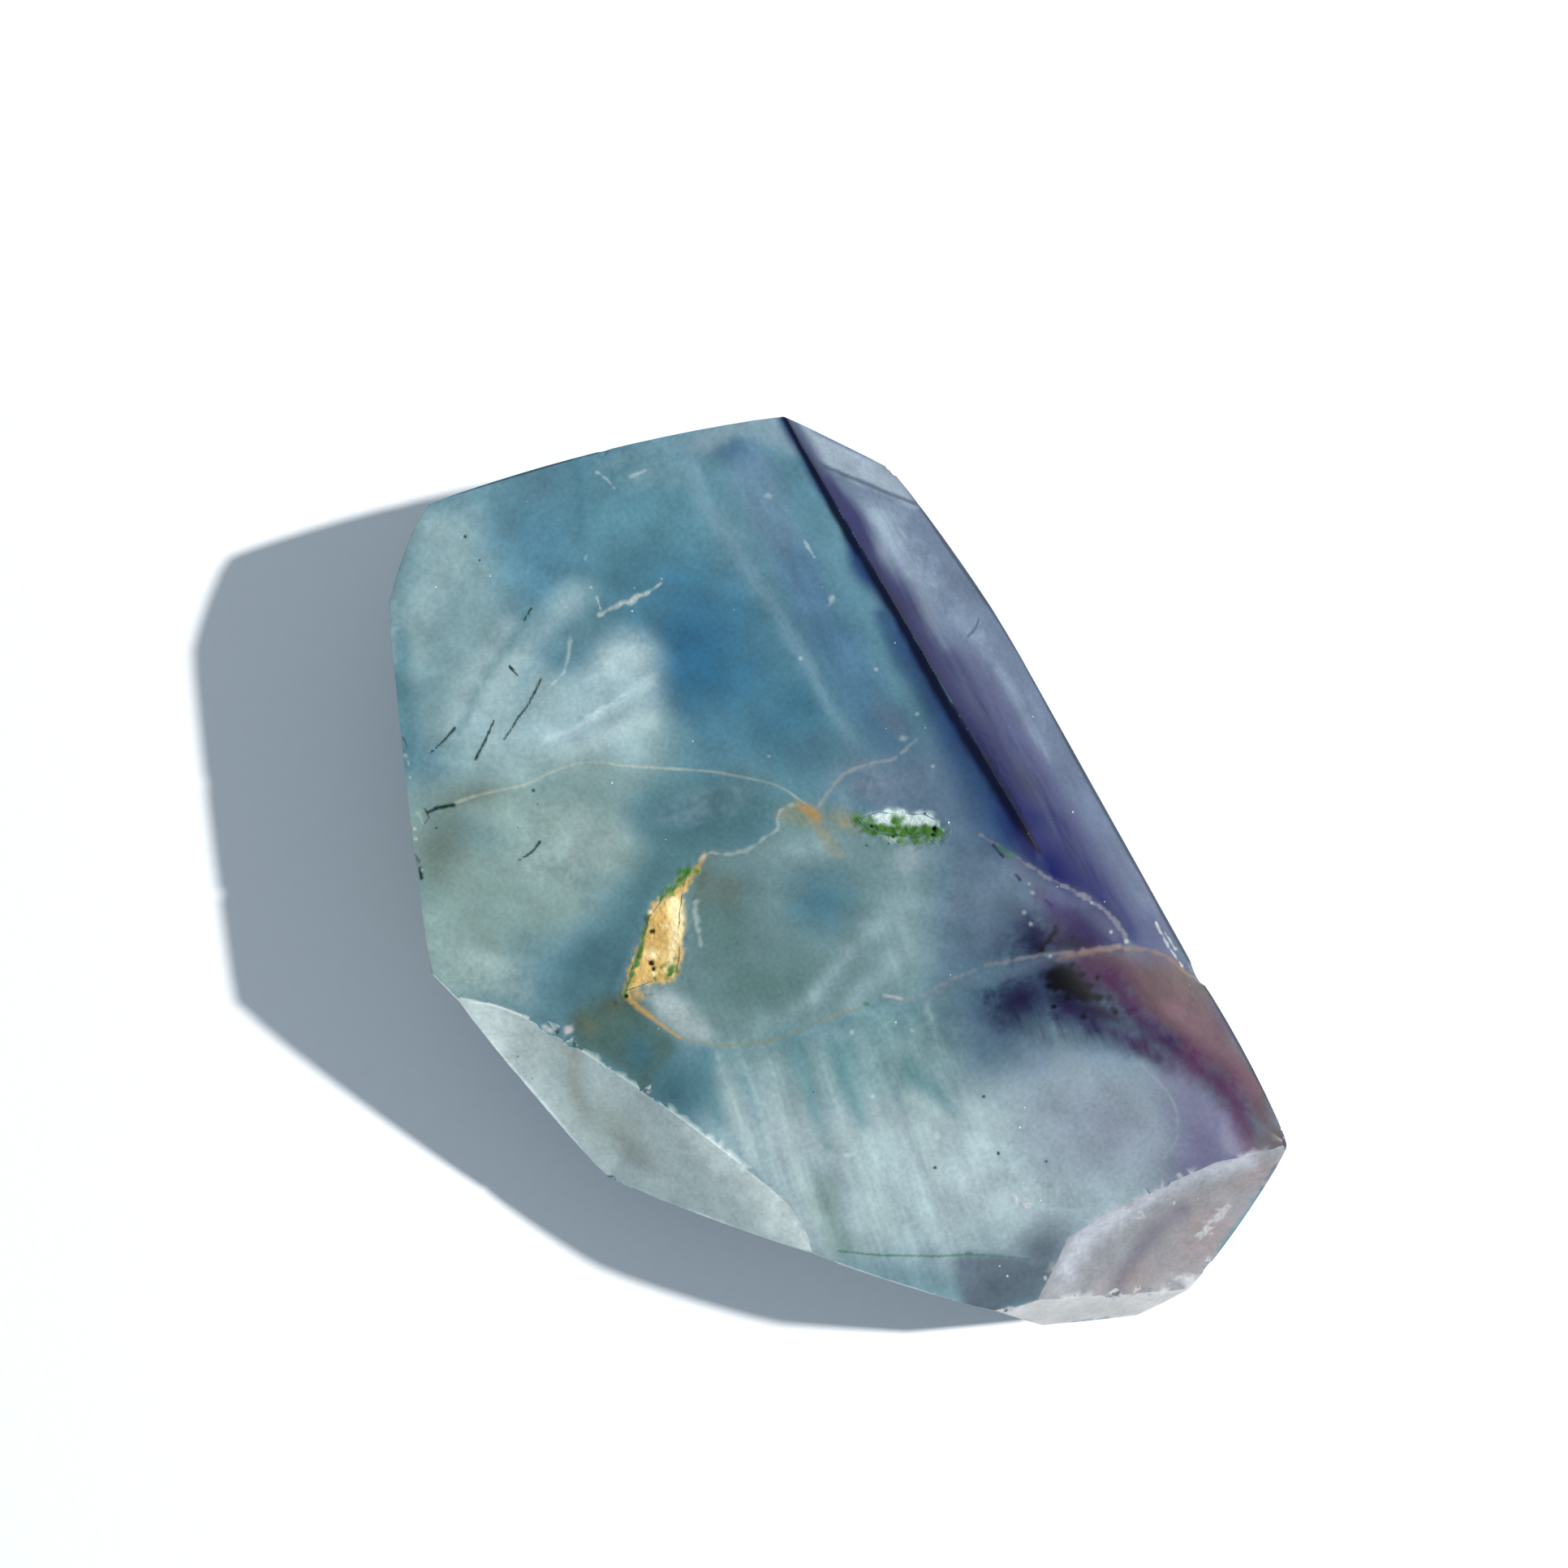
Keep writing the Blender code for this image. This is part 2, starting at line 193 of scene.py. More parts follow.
MAGENTA_LINE = (1342, 1193, 1368, 1213, 1391, 1236, 1424, 1274, 1462, 1304, 1501, 1332, 1535, 1385)
FLANK_RIM = (533, 1203, 563, 1233, 600, 1280, 670, 1360, 740, 1445, 752, 1453, 765, 1462)
KEEL_RIM = (765, 1462, 860, 1496, 1000, 1547, 1130, 1590, 1248, 1627)
TAN_POCKET = (
    847, 1074, 817, 1104, 802, 1124, 792, 1156, 779, 1188, 770, 1225, 787, 1212, 805, 1210, 830, 1205,
    838, 1186, 839, 1145, 838, 1109, 848, 1088,
)
GREEN_POCKET = (
    1054, 1008, 1079, 1005, 1091, 999, 1111, 999, 1121, 1004, 1144, 1003, 1152, 1011, 1157, 1026,
    1147, 1031, 1126, 1030, 1102, 1035, 1089, 1031, 1076, 1023, 1063, 1015,
)
FRAGMENT = (
    860, 1063, 873, 1051, 897, 1053, 922, 1046, 943, 1032, 958, 1020, 963, 997, 1010, 995, 1054, 1012,
    1100, 1035, 1146, 1032, 1156, 1060, 1150, 1110, 1153, 1170, 1120, 1229, 1070, 1238, 1020, 1255,
    986, 1269, 941, 1284, 892, 1288, 841, 1280, 805, 1255, 772, 1226, 790, 1160, 820, 1100,
)
RIGHT_SIDE = (960, 440, 1120, 430, 1720, 1100, 1720, 1500, 1480, 1350, 1400, 1235, 1290, 1060)


def blob(x, y, across, down, turn=0.0):
    """An ellipse: its centre, its two radii, and how far it is turned clockwise, in degrees."""
    return "blob", (x, y), (across, down), math.radians(turn)


def specks(*spots):
    """Small round spots, each its place and its radius."""
    return "specks", spots, max(spot[2] for spot in spots), None


def places(numbers):
    """Points in the photograph, from one row of x, y, x, y and so on."""
    return np.array(numbers, float).reshape(-1, 2)


def stroke(line, reach, end_reach=None):
    """A band along a smooth line, reach to each side of it, which may change towards its end."""
    return "stroke", places(line), reach, reach if end_reach is None else end_reach


def patch(outline, edge):
    """All inside a smooth outline, with an edge of that width."""
    return "patch", places(outline), edge, None


@dataclass
class Layer:
    """One thing that grew in the stone, or painted light or shade on it. Its field starts to show at one
    level and is full at another.
    """

    name: str
    colour: tuple
    strength: float
    ragged: float
    shapes: tuple
    start: float = 0.0
    full: float = 1.0
    grain: str = "mottle"
    side: str = "all"  # which facets show it
    clear: float = None  # None leaves it as it is below
    rough: float = None
    relief: float = 0.0  # how deep it is sunk in the surface, in millimetres


def layer(name, colour, strength, ragged, *shapes, **more):
    """A layer of these shapes. What differs from the usual layer is given by name."""
    return Layer(name, colour, strength, ragged, shapes, **more)


# What grew in the stone, with some painted glow, highlight and shade, from the deepest to the last on top:
# soft zones, then crisp marks.
ZONES = (
    # Broad zones of the whole stone.
    layer("pale_left", (131, 160, 163), 0.9, 0.3, blob(556, 745, 120, 190, 8), blob(600, 880, 150, 120),
          full=0.7, grain="billow", clear=0.2),
    layer("corner_light", (147, 169, 172), 0.6, 0.4, blob(548, 655, 60, 46, -20),
          stroke((500, 830, 522, 740, 560, 690), 26, 34), stroke((545, 900, 585, 830, 628, 770), 16, 22),
          blob(610, 915, 90, 34, -30), clear=0.15),
    layer("teal_rim", (91, 133, 141), 0.8, 0.2, stroke((490, 790, 497, 860, 508, 940), 24, 16), full=0.9),
    layer("pale_rim", (150, 178, 180), 0.7, 0.4, stroke((512, 640, 489, 700, 480, 742, 486, 810), 11, 7)),
    layer("corner_blue", (90, 142, 165), 0.75, 0.3, blob(665, 678, 88, 110), full=0.8),
    layer("sea_green", (91, 140, 155), 0.85, 0.3,
          patch((714, 566, 800, 552, 860, 560, 870, 680, 840, 740, 760, 770, 714, 745), 70)),
    layer("growth_step", (74, 122, 142), 0.5, 0.4, stroke((714, 572, 716, 660, 718, 740), 12)),
    layer("dark_patch", (74, 118, 133), 0.75, 0.4, blob(768, 700, 80, 44, -8), full=0.8),
    layer("wide_blue", (72, 129, 154), 0.85, 0.2, blob(890, 800, 170, 190, -30), blob(970, 880, 110, 100),
          full=0.9, grain="billow", clear=0.45),
    layer("deep_blue", (52, 122, 163), 0.75, 0.35, blob(856, 800, 92, 118, -12), full=0.9, clear=0.5),
    layer("blue_stub", (46, 92, 138), 0.75, 0.5, blob(906, 556, 56, 24, 20)),
    layer("top_haze", (132, 163, 173), 0.55, 0.6, stroke((966, 520, 891, 532, 816, 552, 740, 575), 30, 14),
          blob(800, 585, 80, 30, -10)),
    layer("milk", (154, 177, 181), 0.85, 0.3,
          patch((618, 958, 650, 890, 684, 838, 735, 792, 784, 784, 804, 806, 808, 860, 806, 920, 790, 946,
                700, 952), 56), grain="billow", clear=0.1),
    layer("upper_mist", (158, 181, 184), 0.85, 0.6, stroke((600, 870, 650, 800, 700, 742), 66, 44),
          full=1.2, grain="billow", clear=0.15),
    layer("milk_gap", (120, 156, 167), 0.5, 0.4, stroke((640, 850, 662, 814, 692, 788, 728, 768), 15, 12),
          stroke((690, 905, 735, 876, 790, 850), 8, 10)),
    layer("bright_milk", (174, 192, 195), 0.7, 0.4, blob(766, 812, 46, 36, -14),
          stroke((676, 916, 728, 888, 772, 858, 802, 836), 9, 15),
          stroke((690, 940, 745, 912, 800, 886), 15, 20), clear=0.05),
    layer("violet_upper", (118, 150, 175), 0.75, 0.25, stroke((925, 580, 965, 670, 1010, 760), 44, 30),
          full=0.8, grain="streak", clear=0.35),
    layer("blue_right", (83, 123, 155), 0.75, 0.25,
          stroke((985, 700, 1035, 800, 1075, 870, 1110, 950), 46, 50), full=0.9, grain="streak",
          clear=0.45),
    layer("pale_band", (128, 158, 173), 0.55, 0.5, stroke(PALE_BAND, 20, 14), grain="streak", clear=0.25),
    layer("dusk_right", (74, 112, 128), 0.6, 0.4, blob(1004, 928, 100, 44, 10),
          blob(1120, 902, 56, 60, -30), full=0.9, clear=0.4),
    layer("ridge_strip", (92, 134, 152), 0.5, 0.3, stroke((975, 580, 1030, 690, 1080, 780), 24, 14),
          grain="streak"),
    layer("top_pale", (133, 155, 166), 0.75, 0.4,
          patch((850, 534, 900, 520, 966, 506, 990, 562, 953, 553, 928, 543, 897, 545, 860, 556), 14),
          clear=0.2),
    layer("grey_violet", (97, 118, 139), 0.9, 0.25,
          patch((1040, 950, 1110, 930, 1160, 900, 1240, 1020, 1290, 1100, 1285, 1165, 1200, 1185,
                1150, 1215, 1155, 1060, 1060, 1000), 70), blob(1100, 890, 44, 24, 50), grain="billow",
          clear=0.35),
    layer("blue_shadow", (34, 70, 120), 0.65, 0.2, stroke((1085, 760, 1165, 900, 1240, 1030), 18, 46),
          full=0.9, clear=0.5),
    layer("violet_haze", (122, 138, 156), 0.5, 0.6, blob(1090, 970, 70, 34, -20),
          blob(1215, 1110, 80, 60)),
    # Below the long fracture.
    layer("left_veil", (139, 163, 157), 0.95, 0.5,
          patch((500, 985, 600, 980, 690, 950, 760, 945, 790, 962, 785, 1020, 775, 1075, 730, 1130,
                680, 1180, 660, 1250, 600, 1240, 500, 1240, 480, 1100), 140), grain="billow", clear=0.2),
    layer("brown_veil", (106, 121, 109), 0.8, 0.5, blob(545, 1036, 56, 84), blob(575, 982, 66, 24, -14),
          grain="streak", clear=0.2),
    layer("pale_veil", (158, 177, 175), 0.65, 0.6, blob(705, 1042, 84, 62), blob(600, 1200, 80, 36, 30),
          clear=0.12),
    layer("grey_left", (118, 144, 139), 0.6, 0.6, blob(630, 1120, 84, 50, 20)),
    layer("teal_below", (87, 129, 135), 0.95, 0.3,
          patch((806, 962, 870, 962, 985, 984, 955, 1012, 940, 1030, 890, 1052, 860, 1052, 820, 1095,
                795, 1130, 772, 1222, 720, 1245, 680, 1240, 696, 1190, 745, 1140, 785, 1080,
                800, 1030), 64), clear=0.4),
    layer("dusk", (76, 116, 132), 0.6, 0.4, blob(738, 1186, 66, 80, 34), blob(852, 1004, 96, 36, 8)),
    layer("speckle", (140, 168, 178), 0.5, 1.4, blob(868, 990, 52, 20, -12)),
    # The old break that healed, and its veils.
    layer("fragment", (111, 137, 136), 0.8, 0.2, patch(FRAGMENT, 14), start=0.2, full=0.8, clear=0.25),
    layer("fragment_shade", (86, 116, 112), 0.85, 0.35, blob(886, 1130, 56, 110, -12),
          blob(940, 1215, 110, 60, -10), full=0.9, grain="ray"),
    layer("fragment_brown", (97, 109, 100), 0.8, 0.4, blob(900, 1098, 34, 30, 20),
          blob(868, 1088, 24, 44, 10)),
    layer("fragment_blue", (70, 119, 137), 0.85, 0.3, blob(1014, 1110, 66, 66)),
    layer("fragment_pale", (140, 162, 167), 0.75, 0.7, blob(1118, 1130, 56, 96, 8),
          blob(1124, 1056, 50, 30, 10), stroke((982, 1250, 1024, 1200, 1062, 1160, 1100, 1136), 14, 24),
          stroke((1050, 1240, 1090, 1196, 1122, 1160), 22, 30), blob(1000, 1048, 80, 22, -10), full=1.2,
          grain="ray", clear=0.12),
    layer("fragment_lavender", (150, 160, 168), 0.6, 0.5, blob(1128, 1056, 42, 26)),
    layer("fragment_soft", (108, 132, 144), 0.7, 0.5,
          stroke((1149, 1050, 1152, 1120, 1150, 1190, 1128, 1226), 26), full=0.9),
    layer("white_oval", (152, 165, 165), 1.0, 0.25,
          patch((800, 1216, 826, 1216, 850, 1236, 866, 1256, 872, 1280, 846, 1277, 820, 1260,
                802, 1238), 30), clear=0.05),
    # The lower end.
    layer("lower_teal", (110, 146, 149), 0.85, 0.3,
          patch((880, 1290, 1000, 1275, 1080, 1240, 1180, 1210, 1190, 1330, 1100, 1360, 960, 1370,
                880, 1350), 50)),
    layer("lower_pale", (142, 159, 165), 1.0, 0.3,
          patch((890, 1350, 960, 1340, 1060, 1345, 1170, 1330, 1260, 1290, 1330, 1280, 1420, 1310,
                1470, 1380, 1480, 1460, 1380, 1520, 1300, 1570, 1180, 1565, 1000, 1565, 930, 1480), 100),
          grain="billow", clear=0.15),
    layer("lower_milk", (178, 193, 197), 0.6, 0.6, blob(1190, 1446, 120, 84, 10), blob(1250, 1470, 90, 56),
          blob(945, 1400, 40, 80, -25), clear=0.05),
    layer("grey_lower", (124, 130, 146), 0.75, 0.3, blob(1372, 1385, 160, 110, 16)),
    layer("slate_soft", (108, 126, 146), 0.7, 0.5, blob(1262, 1300, 120, 66, -8),
          blob(1350, 1296, 90, 46, 16), full=1.1),
    layer("slate_lobe", (74, 98, 120), 0.88, 0.4,
          patch((1144, 1244, 1200, 1208, 1262, 1196, 1300, 1240, 1280, 1280, 1240, 1306, 1205, 1322,
                1180, 1300), 84), clear=0.35),
    layer("lower_violet", (113, 105, 138), 0.85, 0.35,
          patch((1425, 1300, 1480, 1320, 1530, 1365, 1600, 1430, 1500, 1470, 1440, 1450, 1452, 1380), 70),
          blob(1466, 1322, 40, 22, 40), clear=0.35),
    layer("rays_fine", (166, 187, 185), 0.62, 1.5,
          patch((860, 1300, 960, 1300, 1060, 1290, 1150, 1290, 1210, 1400, 1190, 1540, 1060, 1570,
                990, 1500, 900, 1430), 110), start=0.3, full=1.5, grain="ray", clear=0.08),
    layer("keel_grey", (118, 142, 136), 0.8, 0.5, stroke((1012, 1462, 1022, 1500, 1040, 1545), 30, 26),
          grain="ray"),
    layer("keel_teal", (120, 150, 157), 0.8, 0.4, stroke((1050, 1562, 1110, 1576, 1175, 1590), 22, 24),
          grain="ray"),
    layer("ray_gaps", (88, 135, 140), 0.75, 0.7,
          stroke((978, 1296, 995, 1340, 1008, 1380, 1022, 1414), 19, 8),
          stroke((1032, 1296, 1046, 1340, 1062, 1384), 27, 12),
          stroke((1120, 1318, 1150, 1350, 1176, 1380), 18, 10),
          stroke((868, 1296, 876, 1340, 884, 1384), 17, 10),
          stroke((912, 1320, 926, 1370, 944, 1424), 9, 5), full=1.2, grain="ray"),
    layer("rays", (166, 184, 182), 0.65, 0.9,
          stroke((944, 1312, 960, 1350, 973, 1400, 983, 1450, 990, 1500), 6, 28),
          stroke((1004, 1288, 1018, 1325, 1029, 1360, 1039, 1390, 1054, 1424), 4, 20),
          stroke((1054, 1424, 1070, 1462, 1081, 1500, 1088, 1534), 20, 14),
          stroke((880, 1294, 896, 1338, 911, 1380, 926, 1412), 5, 18),
          stroke((1116, 1350, 1145, 1368, 1174, 1386), 13, 10),
          stroke((1126, 1374, 1140, 1400, 1150, 1440, 1161, 1490, 1174, 1520), 13, 8),
          stroke((1140, 1232, 1152, 1271, 1163, 1310), 4, 8), full=1.2, grain="ray", clear=0.08),
    layer("slate", (102, 116, 128), 0.95, 0.35,
          patch((1183, 1551, 1232, 1551, 1280, 1546, 1306, 1536, 1296, 1575, 1276, 1603, 1250, 1614,
                1229, 1625, 1198, 1618, 1186, 1600), 18), blob(1288, 1534, 60, 40, -30), clear=0.35),
    layer("olive_wedge", (78, 103, 93), 0.9, 0.4,
          patch((703, 1255, 730, 1240, 775, 1224, 805, 1256, 832, 1284, 815, 1330, 795, 1350, 760, 1320,
                711, 1290), 26)),
    layer("teal_deep", (66, 110, 121), 0.85, 0.3, blob(840, 1338, 64, 60, 30), blob(790, 1300, 30, 40),
          full=0.8),
    layer("olive_stain", (108, 113, 86), 0.6, 0.7, blob(722, 1262, 26, 16, 30),
          stroke((752, 1244, 776, 1232), 12, 10)),
    # The side below the long bevel, where the same violet bands come out.
    layer("right_wall", (66, 76, 122), 0.88, 0.4, patch(RIGHT_SIDE, 30), grain="streak", side="right",
          clear=0.35),
    layer("right_wall_pale", (104, 132, 160), 0.6, 1.2, patch(RIGHT_SIDE, 90), start=0.4, full=2.2,
          grain="streak", side="right", clear=0.2),
    # The dark spot and what surrounds it.
    layer("navy_veil", (42, 48, 96), 0.9, 0.5, blob(1316, 1214, 124, 76, 16), blob(1256, 1232, 70, 56, 20),
          blob(1276, 1156, 58, 48), blob(1340, 1146, 76, 48, 40), full=0.85, clear=0.4),
    layer("dusky_violet", (62, 46, 94), 0.9, 0.5,
          patch((1276, 1090, 1320, 1102, 1354, 1122, 1382, 1144, 1396, 1164, 1340, 1172, 1300, 1176,
                1286, 1130), 24), stroke((1310, 1246, 1370, 1272, 1440, 1314), 34, 22)),
    layer("indigo", (8, 4, 46), 0.94, 0.8, blob(1318, 1208, 100, 64, 25), blob(1280, 1164, 46, 38, -50),
          blob(1254, 1230, 50, 42), blob(1332, 1162, 56, 24, 10), blob(1352, 1247, 60, 20, 22), full=0.75,
          clear=0.4),
    layer("violet_fringe", (20, 6, 50), 0.94, 1.4,
          stroke((1290, 1236, 1330, 1244, 1370, 1256, 1410, 1278, 1446, 1300), 44, 18), full=0.75,
          grain="ray"),
    layer("brown", (84, 65, 70), 1.0, 0.35,
          patch((1330, 1178, 1386, 1166, 1432, 1179, 1470, 1200, 1500, 1240, 1548, 1320, 1592, 1400,
                1566, 1400, 1530, 1365, 1498, 1330, 1462, 1302, 1425, 1268, 1385, 1222), 34), clear=0.25),
    layer("olive_brown", (98, 84, 74), 0.55, 0.5,
          stroke((1350, 1177, 1388, 1172, 1432, 1186, 1480, 1220), 8, 22)),
    layer("rose", (126, 92, 106), 0.4, 0.5, stroke((1450, 1244, 1496, 1286, 1536, 1340), 26, 18)),
    layer("magenta", (66, 10, 62), 0.9, 0.5, stroke(MAGENTA_LINE, 38, 28),
          stroke((1501, 1332, 1535, 1385, 1548, 1416), 24, 24), full=0.95),
    layer("violet_deep", (30, 8, 62), 0.8, 1.2,
          stroke((1296, 1238, 1350, 1250, 1398, 1262, 1436, 1288), 24, 16), blob(1284, 1222, 40, 30, 20),
          full=0.9),
    layer("tip_brown", (58, 42, 47), 0.9, 0.3, blob(1568, 1402, 42, 32, 50)),
    # The long bevel.
    layer("bevel", (84, 101, 124), 1.0, 0.0,
          patch((930, 470, 1100, 770, 1265, 1050, 1335, 1110, 1391, 1158, 1432, 1172, 1490, 1204,
                1530, 1200, 1400, 900, 1200, 560), 24), start=0.2, full=0.8, side="bevel", clear=0.3),
    layer("bevel_apex", (127, 142, 153), 0.9, 0.3,
          patch((990, 520, 1062, 548, 1100, 556, 1136, 622, 1088, 601, 1045, 583, 1008, 568), 12),
          side="bevel", clear=0.15),
    layer("bevel_pale", (137, 154, 166), 0.85, 0.6,
          stroke((1078, 640, 1106, 694, 1138, 750, 1160, 792), 36, 16),
          stroke((1228, 826, 1262, 886, 1292, 934), 13, 7), grain="streak", side="bevel", clear=0.15),
    layer("bevel_purple", (70, 72, 114), 0.8, 0.5,
          stroke((1196, 820, 1250, 906, 1310, 1000, 1370, 1090, 1410, 1150), 60, 50), grain="streak",
          side="bevel", clear=0.35),
    layer("bevel_haze", (94, 106, 146), 0.6, 0.5, blob(1338, 1054, 44, 20, 58),
          stroke((1240, 900, 1290, 990), 14, 10), grain="streak", side="bevel"),
    layer("bevel_patch", (122, 136, 156), 0.3, 0.7, stroke((1188, 752, 1218, 806), 22, 14), side="bevel"),
    layer("bevel_mist", (126, 142, 160), 0.42, 2.2, stroke((1090, 640, 1150, 750, 1200, 830), 44, 30),
          stroke((1200, 780, 1290, 920, 1400, 1110), 26, 20), start=0.4, full=1.8, side="bevel",
          clear=0.12),
    layer("bevel_root", (8, 20, 84), 0.94, 0.4,
          stroke((1016, 598, 1050, 656, 1086, 714, 1146, 816, 1204, 916, 1256, 1006), 22, 60), full=0.9,
          side="bevel", clear=0.4),
    layer("bevel_navy", (5, 10, 70), 0.94, 0.5, stroke(MAIN_RIDGE, 12, 86),
          stroke((1290, 1060, 1330, 1100, 1370, 1150), 84, 30), grain="streak", side="bevel", clear=0.3),
    layer("bevel_shine", (92, 92, 112), 0.6, 0.6, stroke((1082, 560, 1110, 590, 1128, 616), 8, 5),
          stroke((1360, 1010, 1400, 1080, 1440, 1150), 5, 8), grain="streak", side="bevel", clear=0.1),
    layer("ridge_shade", (24, 54, 112), 0.9, 0.2, stroke(RIDGE_CORE, 11, 44), side="face", clear=0.45),
    layer("ridge_navy", (2, 12, 84), 0.92, 0.4,
          patch((1232, 980, 1262, 996, 1300, 1032, 1345, 1082, 1388, 1132, 1392, 1158, 1364, 1140,
                1332, 1114, 1290, 1092, 1262, 1066, 1244, 1036), 30), grain="streak", side="upper",
          clear=0.35),
    # The facets of the lower end. Their base colours are painted paler than the stone: painted glow and
    # sheen of the light these facets let through and reflect.
    # Painted glow: the flank's pale colour stands in for light coming through the stone.
    layer("flank", (184, 199, 196), 1.0, 0.0,
          patch((520, 1150, 720, 1230, 900, 1350, 1010, 1480, 1020, 1600, 700, 1500, 480, 1220), 10),
          side="flank", clear=0.06),
    layer("flank_brown", (156, 162, 149), 0.7, 0.6, stroke((700, 1290, 708, 1330, 722, 1370), 24, 14),
          blob(760, 1400, 90, 30, 45), side="flank"),
    # Painted glow: brighter streaks where the flank lets more light through.
    layer("flank_painted_glow", (226, 235, 231), 0.6, 0.5,
          stroke((850, 1400, 905, 1440, 950, 1485, 985, 1540), 26), blob(610, 1275, 60, 40, 40),
          side="flank"),
    # Painted sheen: the toe's pale grey stands in for light it lets through and reflects.
    layer("toe", (136, 138, 142), 1.0, 0.0,
          patch((1240, 1640, 1270, 1500, 1450, 1400, 1640, 1400, 1500, 1640), 10), side="toe", clear=0.08),
    layer("toe_rose", (143, 130, 129), 0.8, 0.5, blob(1480, 1520, 100, 70, -45),
          blob(1400, 1575, 80, 34, -20), blob(1540, 1450, 60, 24, -30), side="toe"),
    layer("toe_shade", (104, 100, 110), 0.75, 0.4,
          stroke((1370, 1590, 1399, 1550, 1425, 1517, 1458, 1488), 22, 15), side="toe"),
    layer("toe_light", (178, 183, 192), 0.65, 0.5,
          stroke((1310, 1560, 1345, 1520, 1400, 1490, 1460, 1455, 1540, 1432), 20, 16), side="toe"),
    # Painted sheen: the strip's near-white stands in for light it reflects and lets through.
    layer("strip", (180, 180, 179), 1.0, 0.0, patch((1200, 1640, 1230, 1600, 1480, 1570, 1500, 1650), 10),
          side="strip", clear=0.05),
    # Fine marks near the surface.
    layer("branch_haze", (134, 150, 162), 0.5, 1.2, blob(1060, 962, 52, 22, -25), side="face"),
    layer("tan_haze", (144, 140, 106), 0.7, 0.6, blob(1036, 1004, 38, 20, 20), blob(975, 998, 26, 13, -20),
          stroke((1004, 1010, 1018, 1030, 1034, 1050), 12, 9), side="face"),
    layer("ribbon_veil", (104, 108, 128), 0.5, 0.9,
          stroke((1143, 1229, 1210, 1200, 1262, 1190, 1310, 1182), 8, 13),
          stroke((1236, 1058, 1282, 1088, 1332, 1116, 1372, 1148), 14, 14), side="upper"),
    layer("needle_shade", (88, 130, 136), 0.55, 0.4,
          stroke((652, 756, 632, 788, 606, 824, 584, 858, 562, 897), 8, 6), side="face"),
)
